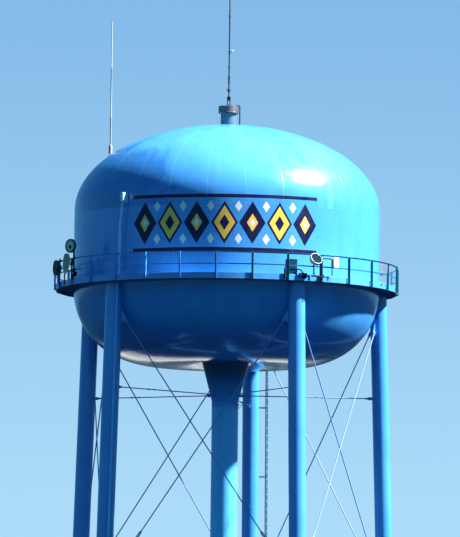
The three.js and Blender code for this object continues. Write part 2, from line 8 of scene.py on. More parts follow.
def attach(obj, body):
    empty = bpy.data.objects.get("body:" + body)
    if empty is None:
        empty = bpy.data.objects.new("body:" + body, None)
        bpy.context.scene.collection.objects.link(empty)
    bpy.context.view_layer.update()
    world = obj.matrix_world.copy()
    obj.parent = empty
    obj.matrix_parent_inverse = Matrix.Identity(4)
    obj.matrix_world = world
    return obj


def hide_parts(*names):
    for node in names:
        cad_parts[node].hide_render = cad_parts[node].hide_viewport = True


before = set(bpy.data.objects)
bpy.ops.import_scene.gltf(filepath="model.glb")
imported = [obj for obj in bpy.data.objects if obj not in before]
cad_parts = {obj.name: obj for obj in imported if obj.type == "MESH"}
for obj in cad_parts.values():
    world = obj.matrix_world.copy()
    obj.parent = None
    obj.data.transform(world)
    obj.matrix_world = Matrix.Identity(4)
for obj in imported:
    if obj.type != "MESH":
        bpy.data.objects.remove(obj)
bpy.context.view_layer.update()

# Sizes in metres, the same as the solids'
TANK_R = 6.5
DECK = 24.6
KNUCKLE_R = 3.12
KNUCKLE_Z = DECK + 0.104
KNUCKLE_CENTRE_R = TANK_R - KNUCKLE_R
KNUCKLE_ANGLE = 65.0
BELLY_R = 4.2
CROWN_LAND_R = 1.04
COURSE_SEAM = DECK + 1.762
ROOF_SEAM = DECK + 3.150
ROOF_SPRING = DECK + 3.429
ROOF_RISE = 3.712
VENT_HOLE_R = 0.25
VENT_R, VENT_TOP = 0.335, DECK + 7.684
CAP_R, CAP_TOP = 0.440, DECK + 8.000
MAST_R, MAST_TOP = 0.032, 37.90
WHIP_R, WHIP_TOP = 5.07, 36.05
RISER_R = 0.566
CONE_FOOT_R = 0.585
CONE_TOP_R = 1.014
RISER_SEAM = 19.757
CONE_FOOT_Z = 20.05
CROWN_Z = 21.688
LEG_R = 0.36
LEG_AXIS_R = 6.539
BATTER = 0.0327
TOP_WORK, MID_WORK, LOW_WORK = 23.775, 11.834, 0.56
ROD_R = 0.025
STRUT_R = 0.16
STAY_Z = 20.245
STAY_R = 0.022
BALCONY_R = 7.25
FASCIA_TOP = DECK + 0.25
FLOOR_Z = DECK + 0.14
TOP_RAIL = DECK + 1.129
MID_RAIL = TOP_RAIL - 0.49
LEG_NAMES = ["front_right", "right", "back", "left", "front_left"]
BAY_NAMES = ["right_front", "right_back", "left_back", "left_front", "front"]
HALF_STEP, LEG_STEP = 36, 72
VIEW_TURN = 9.62

# Sizes of the finish: sheet thickness, clearance, weld beads and how finely things turn
PLATE = 0.012
GAP = 0.0003
SEAM_WIDE, SEAM_HIGH = 0.022, 0.0012
TANK_SIDES, RISER_SIDES, LEG_SIDES = 200, 96, 72
ROOF_STEPS = 60
CURVE_STEPS, INNER_CURVE_STEPS = (10, 14, 34), (3, 4, 10)
ROOF_PLATES, ROOF_SEAM_START = 25, 1.8
SHELL_PLATES, UPPER_SEAM_START, LOWER_SEAM_START = 8, 12.0, 34.5
KNUCKLE_PLATES, KNUCKLE_SEAM_START = 20, 5.0
SHARP_EDGE = 32.0
BEVEL_EDGE = 40.0


def spin(degrees):
    return Matrix.Rotation(math.radians(degrees), 4, "Z")


def lean(angle):
    return Matrix.Rotation(angle, 4, "X")


def at(x, y, z):
    return Matrix.Translation((x, y, z))


def arc(centre_r, centre_z, radius_r, radius_z, start, stop, steps):
    points = []
    for i in range(steps + 1):
        a = math.radians(start + (stop - start) * i / steps)
        points.append((centre_r + radius_r * math.cos(a), centre_z + radius_z * math.sin(a)))
    return points


def bend(start, corner, end, steps):
    """Points on a smooth bend from start to end, pulled towards the corner."""
    start, corner, end = Vector(start), Vector(corner), Vector(end)
    points = []
    for i in range(steps + 1):
        t = i / steps
        points.append(start * (1 - t) ** 2 + corner * 2 * t * (1 - t) + end * t ** 2)
    return points


def rounded(outline, radius):
    """An outline with its corners rounded."""
    steps = 5
    result = []
    for i, point in enumerate(outline):
        corner = Vector(point)
        a = Vector(outline[i - 1]) - corner
        b = Vector(outline[(i + 1) % len(outline)]) - corner
        cut = min(radius, a.length * 0.45, b.length * 0.45)
        start, end = corner + a.normalized() * cut, corner + b.normalized() * cut
        result += [(q.x, q.y) for q in bend(start, corner, end, steps)]
    return result


def rectangle(x, z, wide, tall):
    half, rise = wide / 2, tall / 2
    return [(x - half, z - rise), (x + half, z - rise), (x + half, z + rise), (x - half, z + rise)]


def leg_axis_r(z):
    return LEG_AXIS_R + BATTER * (DECK - z)


# The tank's bottom: a knuckle, a rounded belly and a crown that turns up to the riser
knuckle_turn = math.radians(KNUCKLE_ANGLE)
BELLY_CENTRE_R = KNUCKLE_CENTRE_R - (BELLY_R - KNUCKLE_R) * math.cos(knuckle_turn)
BELLY_CENTRE_Z = KNUCKLE_Z + (BELLY_R - KNUCKLE_R) * math.sin(knuckle_turn)
LOWEST_Z = BELLY_CENTRE_Z - BELLY_R
crown_rise = CROWN_Z - LOWEST_Z
crown_run = BELLY_CENTRE_R - CROWN_LAND_R
CROWN_ARC_R = (crown_run ** 2 + crown_rise ** 2) / (2 * crown_rise)
CROWN_TURN = math.degrees(math.asin(crown_run / CROWN_ARC_R))
KNUCKLE_SEAM = KNUCKLE_Z - KNUCKLE_R * math.sin(knuckle_turn)
RIM_R = CONE_TOP_R - 0.03


def bottom_curve(out, steps):
    """The tank's bottom from the crown outwards, moved out from the plate."""
    crown_r, belly_r, knuckle_r = CROWN_ARC_R + out, BELLY_R + out, KNUCKLE_R + out
    crown = arc(BELLY_CENTRE_R, LOWEST_Z + CROWN_ARC_R, crown_r, crown_r, -90 - CROWN_TURN, -90,
                steps[0])
    belly = arc(BELLY_CENTRE_R, BELLY_CENTRE_Z, belly_r, belly_r, -90, -KNUCKLE_ANGLE, steps[1])
    knuckle = arc(KNUCKLE_CENTRE_R, KNUCKLE_Z, knuckle_r, knuckle_r, -KNUCKLE_ANGLE, 0, steps[2])
    return crown + belly[1:] + knuckle[1:]


def roof_z(r):
    return ROOF_SPRING + ROOF_RISE * math.sqrt(1 - (r / TANK_R) ** 2)


# Mesh building
class Kit:
    """Many small solids gathered into one mesh. Each is drawn in the frame that place holds,
    or in a frame local to it."""

    def __init__(self, place=None):
        self.points = []
        self.faces = []
        self.place = Matrix() if place is None else place

    def add(self, points, faces, local=None):
        m = self.place if local is None else self.place @ local
        base = len(self.points)
        self.points += [m @ Vector(p) for p in points]
        self.faces += [[base + i for i in f] for f in faces]

    def add_mesh(self, mesh):
        self.add([v.co for v in mesh.vertices], [list(p.vertices) for p in mesh.polygons])

    def box(self, size, centre, local=None):
        x, y, z = (s / 2 for s in size)
        cx, cy, cz = centre
        points = [(cx + i * x, cy + j * y, cz + k * z)
                  for i in (-1, 1) for j in (-1, 1) for k in (-1, 1)]
        faces = [(0, 1, 3, 2), (4, 6, 7, 5), (0, 4, 5, 1), (2, 3, 7, 6), (0, 2, 6, 4), (1, 5, 7, 3)]
        self.add(points, faces, local)

    def turn(self, profile, sides, local=None, phase=0.0):
        """A lathe about Z. The profile runs anticlockwise in (r, z); its ends lie on the axis
        or it closes on itself."""
        closed = profile[0] == profile[-1]
        rows = profile[:-1] if closed else profile
        points = []
        index = []
        for r, z in rows:
            if abs(r) < 1e-9:
                index.append([len(points)] * sides)
                points.append((0.0, 0.0, z))
                continue
            index.append([len(points) + i for i in range(sides)])
            for i in range(sides):
                a = 2 * math.pi * i / sides + phase
                points.append((r * math.sin(a), -r * math.cos(a), z))
        faces = []
        for j in range(len(rows) if closed else len(rows) - 1):
            low, high = index[j], index[(j + 1) % len(rows)]
            for i in range(sides):
                k = (i + 1) % sides
                face = list(dict.fromkeys([low[i], low[k], high[k], high[i]]))
                if len(face) > 2:
                    faces.append(face)
        self.add(points, faces, local)

    def ring(self, section, sides, local=None):
        """A lathe whose section closes on itself."""
        self.turn(section + [section[0]], sides, local)

    def hoop(self, inner, outer, low, high, sides, local=None):
        """A ring of rectangular section."""
        self.ring([(inner, low), (outer, low), (outer, high), (inner, high)], sides, local)

    def band(self, radius, low, high, proud, sides):
        """A thin band round a tube, with its edges eased."""
        inner, outer, ease = radius - 0.002, radius + proud, proud / 2
        self.ring([(inner, low), (outer, low + ease), (outer, high - ease), (inner, high)], sides)

    def collar(self, inner, outer, z, half, sides):
        """A clamp band about height z, 2 mm narrower at its rim."""
        rim = half - 0.002
        self.ring([(inner, z - half), (outer, z - rim), (outer, z + rim), (inner, z + half)], sides)

    def rod(self, p, q, radius, sides=16, end_radius=None, local=None):
        p, q = Vector(p), Vector(q)
        end_radius = radius if end_radius is None else end_radius
        length = (q - p).length
        place = Matrix.Translation(p) @ (q - p).to_track_quat("Z", "Y").to_matrix().to_4x4()
        place = place if local is None else local @ place
        self.turn([(0, 0), (radius, 0), (end_radius, length), (0, length)], sides, place)

    def plate(self, outline, thickness, local=None, lift=0.0):
        """An outline in X-Z, anticlockwise seen from -Y, with its thickness along Y."""
        n = len(outline)
        half = thickness / 2
        points = [(x, lift - half, z) for x, z in outline]
        points += [(x, lift + half, z) for x, z in outline]
        faces = [list(range(n)), list(range(2 * n - 1, n - 1, -1))]
        faces += [[i, i + n, (i + 1) % n + n, (i + 1) % n] for i in range(n)]
        self.add(points, faces, local)

    def sweep(self, path, radius, sides=12):
        """A round bar along a path, with one radius or one for each point."""
        path = [Vector(p) for p in path]
        last = len(path) - 1
        radii = radius if isinstance(radius, list) else [radius] * len(path)
        points = []
        normal = None
        for i, p in enumerate(path):
            ahead = path[min(i + 1, last)] - path[max(i - 1, 0)]
            ahead.normalize()
            if normal is None:
                normal = Vector((1, 0, 0)) if abs(ahead.x) < 0.9 else Vector((0, 1, 0))
            normal = (normal - normal.dot(ahead) * ahead).normalized()
            other = ahead.cross(normal)
            for k in range(sides):
                a = 2 * math.pi * k / sides
                points.append(p + radii[i] * (math.cos(a) * normal + math.sin(a) * other))
        faces = []
        for i in range(last):
            for k in range(sides):
                n = (k + 1) % sides
                a, b = i * sides, (i + 1) * sides
                faces.append([a + k, a + n, b + n, b + k])
        faces.append(list(range(sides))[::-1])
        faces.append([last * sides + k for k in range(sides)])
        self.add(points, faces)

    def bead(self, path, normals, width=SEAM_WIDE, height=SEAM_HIGH, local=None):
        """A weld bead: a low rounded strip along a path that lies on a surface."""
        section = ((-0.5, -0.15), (-0.3, 0.75), (0.0, 1.0), (0.3, 0.75), (0.5, -0.15))
        path = [Vector(p) for p in path]
        last = len(path) - 1
        points = []
        faces = []
        for i, p in enumerate(path):
            n = Vector(normals[i]).normalized()
            ahead = (path[min(i + 1, last)] - path[max(i - 1, 0)]).normalized()
            side = ahead.cross(n)
            for s, h in section:
                points.append(p + side * s * width + n * h * height)
        for i in range(last):
            for k in range(4):
                a = i * 5 + k
                faces.append([a, a + 5, a + 6, a + 1])
        self.add(points, faces, local)

    def upright_bead(self, r, low, high, steps, width, height, local):
        """A weld bead up the front of a round wall."""
        path = [(0, -r, low + (high - low) * i / steps) for i in range(steps + 1)]
        self.bead(path, [(0, -1, 0)] * len(path), width, height, local)

    def ring_bead(self, r, z, out, up, width=SEAM_WIDE, height=SEAM_HIGH, sides=TANK_SIDES):
        """A weld bead right round, on a surface whose normal is given as (out, up)."""
        n = Vector((out, up)).normalized()
        t = Vector((-n.y, n.x))
        section = []
        for s, h in ((-0.5, -0.3), (-0.25, 0.8), (0.0, 1.0), (0.25, 0.8), (0.5, -0.3), (0.0, -0.6)):
            q = Vector((r, z)) + t * s * width + n * h * height
            section.append((q.x, q.y))
        self.ring(section, sides)

    def nut(self, centre, direction, size, height, local=None):
        """A hexagonal nut or bolt head with chamfered corners."""
        c, d = Vector(centre), Vector(direction).normalized()
        place = Matrix.Translation(c) @ d.to_track_quat("Z", "Y").to_matrix().to_4x4()
        place = place if local is None else local @ place
        r = size / 2
        profile = [(0, 0), (r, 0), (r, height * 0.8), (r * 0.82, height), (0, height)]
        self.turn(profile, 6, place)

    def mesh(self, name):
        mesh = bpy.data.meshes.new(name)
        mesh.from_pydata([tuple(p) for p in self.points], [], self.faces)
        mesh.validate()
        return mesh


def shade(mesh):
    """Smooth faces with sharp edges kept sharp."""
    bm = bmesh.new()
    bm.from_mesh(mesh)
    for face in bm.faces:
        face.smooth = True
    for edge in bm.edges:
        if len(edge.link_faces) == 2:
            edge.smooth = edge.calc_face_angle(0.0) < math.radians(SHARP_EDGE)
    bm.to_mesh(mesh)
    bm.free()


def place_in_scene(name, data):
    obj = bpy.data.objects.new(name, data)
    bpy.context.scene.collection.objects.link(obj)
    return obj


def piece(name, kit, material, nodes=(), bevel=0.0):
    """A finished piece on the root body, standing for the named solids."""
    mesh = kit.mesh(name)
    obj = place_in_scene(name, mesh)
    mesh.materials.append(material)
    shade(mesh)
    if bevel:
        mod = obj.modifiers.new("edges", "BEVEL")
        mod.width = bevel
        mod.segments = 2
        mod.limit_method = "ANGLE"
        mod.angle_limit = math.radians(BEVEL_EDGE)
        mod.harden_normals = False
    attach(obj, "root")
    if nodes:
        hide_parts(*nodes)


def carve(mesh, cutters):
    """The mesh less other closed meshes."""
    body = place_in_scene("carve_body", mesh)
    tools = [place_in_scene("carve_tool", cutter) for cutter in cutters]
    for tool in tools:
        mod = body.modifiers.new("cut", "BOOLEAN")
        mod.operation = "DIFFERENCE"
        mod.object = tool
        mod.solver = "EXACT"
    deps = bpy.context.evaluated_depsgraph_get()
    result = bpy.data.meshes.new_from_object(body.evaluated_get(deps))
    for obj in tools + [body]:
        bpy.data.objects.remove(obj)
    return result


# Node trees
class Nodes:
    """A small helper for writing node trees. Inputs are values or other nodes' outputs."""

    def __init__(self, tree):
        self.tree = tree

    def put(self, socket, value):
        if isinstance(value, bpy.types.NodeSocket):
            self.tree.links.new(value, socket)
        else:
            socket.default_value = value

    def new(self, kind, inputs, **settings):
        node = self.tree.nodes.new("ShaderNode" + kind)
        for name, value in settings.items():
            setattr(node, name, value)
        for name, value in inputs.items():
            self.put(node.inputs[name], value)
        return node

    def math(self, operation, a, b=0.0, c=0.0):
        return self.new("Math", {0: a, 1: b, 2: c}, operation=operation).outputs[0]

    def times(self, a, b):
        return self.math("MULTIPLY", a, b)

    def plus(self, a, b):
        return self.math("ADD", a, b)

    def minus(self, a, b):
        return self.math("SUBTRACT", a, b)

    def vector_math(self, operation, inputs):
        return self.new("VectorMath", inputs, operation=operation)

    def split(self, vector):
        return self.new("SeparateXYZ", {0: vector}).outputs

    def remap(self, value, low, high, to_low=0.0, to_high=1.0, kind="SMOOTHSTEP"):
        inputs = {"Value": value, "From Min": low, "From Max": high, "To Min": to_low,
                  "To Max": to_high}
        return self.new("MapRange", inputs, interpolation_type=kind).outputs[0]

    def mix(self, factor, a, b):
        return self.new("Mix", {0: factor, 6: a, 7: b}, data_type="RGBA").outputs[2]


class Shader(Nodes):
    """A material's nodes, with patterns that lie fast on the object."""

    def __init__(self, name):
        self.material = bpy.data.materials.new(name)
        self.material.use_nodes = True
        super().__init__(self.material.node_tree)
        self.bsdf = self.tree.nodes["Principled BSDF"]
        self.place = self.new("TexCoord", {}).outputs["Object"]

    def stretch(self, scale):
        return self.new("Mapping", {"Vector": self.place, "Scale": scale}).outputs[0]

    def noise(self, scale, detail=4.0, rough=0.55, vector=None, distort=0.0):
        inputs = {"Vector": self.place if vector is None else vector, "Scale": scale,
                  "Detail": detail, "Roughness": rough, "Distortion": distort}
        return self.new("TexNoise", inputs).outputs["Fac"]

    def cells(self, scale):
        return self.new("TexVoronoi", {"Vector": self.place, "Scale": scale}).outputs["Distance"]

    def bump(self, height, distance, strength, under=None):
        inputs = {"Strength": strength, "Distance": distance, "Height": height}
        if under is not None:
            inputs["Normal"] = under
        return self.new("Bump", inputs).outputs[0]

    def normal_z(self):
        return self.split(self.new("NewGeometry", {}).outputs["Normal"])[2]

    def finish(self, color, rough, normal=None, metallic=0.0, coat=0.0, coat_rough=0.1, specular=0.5):
        values = {"Base Color": color, "Roughness": rough, "Metallic": metallic,
                  "Coat Weight": coat, "Coat Roughness": coat_rough, "Specular IOR Level": specular}
        if normal is not None:
            values["Normal"] = normal
        for name, value in values.items():
            self.put(self.bsdf.inputs[name], value)
        return self.material


def rgb(r, g, b):
    return (r, g, b, 1.0)


def near(s, value, target, width):
    """1 on a line where value is near target, falling to 0 at width."""
    away = s.math("ABSOLUTE", s.minus(value, target))
    return s.remap(away, 0.0, width, 1.0, 0.0)


def seam_fan(s, pitch, start, radius, width):
    """1 on upright seams that stand every pitch degrees round the axis, and the plate's number."""
    x, y, _ = s.split(s.place)
    angle = s.math("ARCTAN2", x, s.times(y, -1.0))
    turns = s.math("DIVIDE", s.minus(angle, math.radians(start)), math.radians(pitch))
    off = s.minus(s.math("FRACT", s.plus(turns, 100.5)), 0.5)
    away = s.times(s.math("ABSOLUTE", off), math.radians(pitch) * radius)
    plate_no = s.math("FLOOR", s.plus(turns, 100.0))
    return s.remap(away, 0.0, width, 1.0, 0.0), plate_no


def along_slope(s, around, along):
    """Coordinates that stretch a pattern down the slope of a surface turned about Z."""
    x, y, z = s.split(s.place)
    r = s.math("MAXIMUM", s.math("SQRT", s.plus(s.times(x, x), s.times(y, y))), 0.05)
    parts = {0: s.times(s.math("DIVIDE", x, r), around), 1: s.times(s.math("DIVIDE", y, r), around),
             2: s.times(s.plus(r, z), along)}
    return s.new("CombineXYZ", parts).outputs[0]


# Materials
BASE = rgb(0.058, 0.300, 0.72)
LIGHT = rgb(0.078, 0.355, 0.80)
DEEP = rgb(0.040, 0.245, 0.64)
GRIME = rgb(0.018, 0.12, 0.24)
CHALK = rgb(0.17, 0.52, 0.84)
SHADOW = rgb(0.002, 0.014, 0.055)
# Painted shade tone for the roof's low left
ROOF_SHADE_TONE = rgb(0.010, 0.115, 0.40)
RUST = rgb(0.20, 0.07, 0.03)
SEAM_LINE = 0.030


def water_runs(s, slope, streaks, color):
    """Dark and pale runs, and the mask of the dark ones."""
    around, down = slope
    flow = s.stretch((2.6, 2.6, 0.16)) if around is None else along_slope(s, around, down)
    patch = s.remap(s.noise(0.7, 3.0), 0.35, 0.65)
    mask = s.times(s.remap(s.noise(1.0, 6.0, 0.62, flow), 0.50, 0.78), patch)
    color = s.mix(s.times(mask, 0.40 * streaks), color, GRIME)
    flow = s.stretch((3.7, 3.7, 0.22)) if around is None else along_slope(s, around * 1.7, down)
    pale = s.remap(s.noise(1.0, 5.0, 0.6, flow), 0.52, 0.80)
    return s.mix(s.times(pale, 0.35 * streaks), color, CHALK), mask


def mottled_roof_shade(s, amount, color):
    """Mottled painted shade on the low left of the roof."""
    x, _, z = s.split(s.place)
    noise = s.noise(1.0, 7.0, 0.68, along_slope(s, 4.5, 1.5))
    low_left = s.times(s.remap(x, 0.4, -4.2), s.remap(z, 31.7, 29.2))
    patchy = s.plus(low_left, s.times(s.minus(noise, 0.5), 1.7))
    return s.mix(s.times(s.remap(patchy, 0.30, 0.62), amount), color, ROOF_SHADE_TONE)


def plate_seams(s, rings, fan, color):
    """The mask of a tank's level and upright seams, with each plate's own tone."""
    z = s.split(s.place)[2]
    lines = None
    for level in rings:
        line = near(s, z, level, SEAM_LINE)
        lines = line if lines is None else s.math("MAXIMUM", lines, line)
    if fan is not None:
        upright, plate_no = seam_fan(s, *fan)
        lines = upright if lines is None else s.math("MAXIMUM", lines, upright)
        tone = s.new("TexWhiteNoise", {"W": plate_no}, noise_dimensions="1D")
        color = s.mix(s.times(tone.outputs["Value"], 0.16), color, DEEP)
    return lines, color


def rust_spots(s, amount, color):
    spots = s.remap(s.noise(9.0, 8.0, 0.75), 0.66, 0.74)
    spots = s.times(spots, s.remap(s.noise(0.9, 2.0), 0.5, 0.7))
    return s.mix(s.times(spots, amount), color, RUST)


def blue_paint(name, rings=(), fan=None, streaks=0.5, chalk=0.3, wave=0.005, wave_scale=1.2,
               rough=0.22, rust=0.0, seam_tone=GRIME, seam_strength=0.16, slope=(None, None),
               dust_tone=CHALK, shaded=0.0, tones=(), roof_shade=0.0):
    """Glossy azure tank paint: cloudy tone, water runs, chalky tops, weld lines. Where asked, it
    also paints shade: darker on faces that point down, and mottled darker on the roof's low
    left. Each of tones is painted shade or light along an axis: the axis, where it starts and
    is full, its share and its colour."""
    s = Shader(name)
    cloud = s.noise(0.32, 5.0, 0.6, distort=0.4)
    color = s.mix(0.5, s.mix(s.remap(cloud, 0.3, 0.7), DEEP, LIGHT), BASE)
    color, run_mask = water_runs(s, slope, streaks, color)
    dust = s.remap(s.noise(1.3, 6.0, 0.65), 0.25, 0.65, 0.25, 1.0)
    dust = s.times(s.remap(s.normal_z(), 0.15, 0.95), dust)
    color = s.mix(s.times(dust, chalk), color, dust_tone)
    # Painted shade: faces that point down are darkened towards SHADOW
    if shaded:
        down = s.remap(s.normal_z(), -0.2, -0.8)
        color = s.mix(s.times(down, shaded), color, SHADOW)
    # Painted shade: a mottled darkening on the roof's low left
    if roof_shade:
        color = mottled_roof_shade(s, roof_shade, color)
    # Painted shade or light: each tone is mixed in along one axis
    for axis, start, full, share, tone in tones:
        color = s.mix(s.remap(s.split(s.place)[axis], start, full, 0.0, share), color, tone)
    lines, color = plate_seams(s, rings, fan, color)
    normal = s.bump(s.noise(wave_scale, 3.0, 0.5), wave, 1.0)
    if lines is not None:
        ragged = s.times(lines, s.remap(s.noise(2.0, 4.0), 0.25, 0.7, 0.1, 1.0))
        color = s.mix(s.times(ragged, seam_strength), color, seam_tone)
        normal = s.bump(lines, 0.0012, 1.0, normal)
    if rust:
        color = rust_spots(s, rust, color)
    normal = s.bump(s.noise(38.0, 3.0), 0.0006, 0.6, normal)
    gloss = s.remap(s.noise(1.7, 6.0, 0.7), 0.3, 0.75, rough * 0.85, rough * 1.3)
    gloss = s.plus(gloss, s.times(run_mask, 0.16))
    if shaded:
        gloss = s.plus(gloss, s.times(down, 0.5))
    gloss = s.plus(gloss, s.times(dust, 0.10))
    return s.finish(color, gloss, normal, coat=0.18, coat_rough=0.10)


def coloured_paint(name, base, worn, rough=0.3, coat=0.15, specular=0.5):
    """Brushed paint that has weathered in clouds and upright runs."""
    worn_share = 0.35
    s = Shader(name)
    cloud = s.noise(1.1, 5.0, 0.6)
    color = s.mix(s.times(s.remap(cloud, 0.35, 0.75), worn_share), base, worn)
    runs = s.noise(1.0, 6.0, 0.62, s.stretch((9.0, 9.0, 0.6)))
    color = s.mix(s.times(s.remap(runs, 0.55, 0.8), worn_share), color, worn)
    normal = s.bump(s.noise(60.0, 4.0), 0.0005, 0.6)
    gloss = s.remap(s.noise(3.0, 5.0), 0.3, 0.75, rough * 0.8, rough * 1.4)
    return s.finish(color, gloss, normal, coat=coat, coat_rough=0.15, specular=specular)


def matt_paint(name, base, worn, rough, specular):
    return coloured_paint(name, base, worn, rough, 0.0, specular)


def galvanized(name, tone):
    """Zinc with its spangle, weathered to brown in patches."""
    s = Shader(name)
    weather = s.noise(2.2, 6.0, 0.65)
    color = s.mix(s.remap(s.cells(38.0), 0.1, 0.7), rgb(tone * 0.7, tone * 0.74, tone * 0.78),
                  rgb(tone * 1.25, tone * 1.28, tone * 1.3))
    color = s.mix(s.times(s.remap(weather, 0.5, 0.8), 0.6), color, rgb(0.12, 0.105, 0.09))
    normal = s.bump(s.noise(85.0, 4.0), 0.0006, 0.7)
    gloss = s.remap(weather, 0.3, 0.8, 0.34, 0.62)
    return s.finish(color, gloss, normal, metallic=0.75)


def plain_plastic(name, base, worn, rough=0.38, specular=0.5):
    """Moulded plastic with stains, fine runs and a grained skin."""
    s = Shader(name)
    stain = s.noise(3.5, 6.0, 0.65)
    color = s.mix(s.times(s.remap(stain, 0.45, 0.8), 0.55), base, worn)
    runs = s.noise(1.0, 5.0, 0.6, s.stretch((24.0, 24.0, 2.0)))
    color = s.mix(s.times(s.remap(runs, 0.55, 0.8), 0.4), color, worn)
    normal = s.bump(s.noise(140.0, 3.0), 0.0004, 0.7)
    gloss = s.remap(stain, 0.3, 0.8, rough * 0.8, rough * 1.5)
    return s.finish(color, gloss, normal, specular=specular)


X_AXIS, Z_AXIS = 0, 2

# The roof's paint carries a mottled painted shade on its low left
roof_paint = blue_paint(
    "azure_roof_paint", rings=(ROOF_SEAM,), fan=(360 / ROOF_PLATES, ROOF_SEAM_START, 4.5, 0.045),
    streaks=0.85, chalk=0.20, wave=0.034, wave_scale=0.6, rough=0.185, seam_tone=CHALK,
    seam_strength=0.26, slope=(9.0, 0.22), roof_shade=0.6)
shell_paint = blue_paint(
    "azure_shell_paint", rings=(ROOF_SEAM, COURSE_SEAM, KNUCKLE_Z),
    fan=(360 / SHELL_PLATES, UPPER_SEAM_START, TANK_R, 0.035), streaks=0.45, chalk=0.2,
    wave=0.014, wave_scale=0.5, rough=0.21, seam_strength=0.15)
# Painted shade: the belly darkens towards the bottom, below 23.5 m
bottom_paint = blue_paint(
    "azure_bottom_paint", rings=(KNUCKLE_Z, KNUCKLE_SEAM),
    fan=(360 / KNUCKLE_PLATES, KNUCKLE_SEAM_START, 5.5, 0.040), streaks=0.4, chalk=0.1,
    wave=0.030, wave_scale=0.5, rough=0.16, seam_strength=0.10, slope=(7.0, 0.3),
    tones=((Z_AXIS, 23.5, 21.9, 0.66, rgb(0.003, 0.050, 0.34)),))
# Painted shade: the flare darkens towards its top under the belly. Painted light: the tube is paler
# below the seam
riser_paint = blue_paint(
    "azure_riser_paint", rings=(RISER_SEAM, CONE_FOOT_Z), chalk=0.2, wave=0.006, wave_scale=0.8,
    tones=((Z_AXIS, 19.95, 21.4, 0.85, rgb(0.002, 0.018, 0.075)),
           (Z_AXIS, 20.0, 19.6, 0.60, rgb(0.12, 0.62, 1.0))))
steel_paint = blue_paint("azure_steel_paint", rust=0.3)
# Painted shade: the railing turns darker teal towards the sunlit right (+X)
rail_paint = blue_paint("azure_rail_paint", rough=0.28, rust=0.3,
                        tones=((X_AXIS, -1.0, 2.5, 0.82, rgb(0.004, 0.14, 0.14)),))
deck_paint = blue_paint("azure_deck_paint", streaks=0.7, chalk=0.95, rough=0.28, rust=0.4,
                        dust_tone=rgb(0.34, 0.66, 0.92), shaded=1.0)

grey_metal = galvanized("weathered_zinc", 0.42)
cap_metal = galvanized("vent_cap_metal", 0.17)

dark_metal = coloured_paint("dark_aerial_paint", rgb(0.035, 0.038, 0.042), rgb(0.13, 0.125, 0.11),
                            0.42)
faded_metal = coloured_paint("faded_vent_paint", rgb(0.085, 0.165, 0.23), rgb(0.12, 0.20, 0.25),
                             0.34)
ladder_paint = coloured_paint("ladder_paint", rgb(0.28, 0.44, 0.48), rgb(0.20, 0.28, 0.30), 0.5)
pipe_paint = coloured_paint("overflow_paint", rgb(0.36, 0.66, 0.90), rgb(0.20, 0.42, 0.62))
leg_pipe_paint = coloured_paint("leg_pipe_paint", rgb(0.11, 0.50, 0.95), rgb(0.07, 0.38, 0.80),
                                0.25)
yellow_paint = coloured_paint("yellow_sign_paint", rgb(1.0, 0.56, 0.06), rgb(0.90, 0.60, 0.18))
white_paint = coloured_paint("white_sign_paint", rgb(0.82, 0.84, 0.84), rgb(0.60, 0.70, 0.76))

rod_paint = matt_paint("tie_rod_paint", rgb(0.17, 0.29, 0.66), rgb(0.21, 0.32, 0.58), 0.5, 0.3)
cabinet_paint = matt_paint("cabinet_paint", rgb(0.0005, 0.036, 0.085), rgb(0.002, 0.050, 0.10),
                           0.50, 0.10)
drum_paint = matt_paint("drum_rim_paint", rgb(0.012, 0.050, 0.13), rgb(0.04, 0.08, 0.13), 0.5, 0.3)
frame_paint = matt_paint("frame_steel_paint", rgb(0.003, 0.017, 0.032), rgb(0.018, 0.030, 0.034),
                         0.6, 0.15)
navy_paint = matt_paint("navy_sign_paint", rgb(0.004, 0.005, 0.050), rgb(0.010, 0.014, 0.075),
                        0.35, 0.3)

white_plastic = plain_plastic("white_fibreglass", rgb(0.78, 0.79, 0.78), rgb(0.42, 0.41, 0.36))
dark_plastic = plain_plastic("dark_panel_plastic", rgb(0.010, 0.013, 0.018),
                             rgb(0.035, 0.037, 0.035), 0.5, 0.2)
whip_plastic = plain_plastic("whip_fibreglass", rgb(0.30, 0.33, 0.34), rgb(0.20, 0.22, 0.23),
                             0.5, 0.3)
dish_plastic = plain_plastic("dish_face_plastic", rgb(0.003, 0.020, 0.030),
                             rgb(0.008, 0.030, 0.036), 0.80, 0.05)
olive_plastic = plain_plastic("olive_radome", rgb(0.84, 0.62, 0.40), rgb(0.55, 0.44, 0.30),
                              0.5, 0.3)
slate_plastic = plain_plastic("slate_radome", rgb(0.92, 0.88, 0.66), rgb(0.62, 0.60, 0.46),
                              0.5, 0.3)


def circle(r, count):
    return arc(0, 0, r, r, 0, 360, count)[:-1]


def every(step, start, stop):
    """Heights a step apart, from start up to stop."""
    return [start + step * i for i in range(math.ceil((stop - start) / step))]


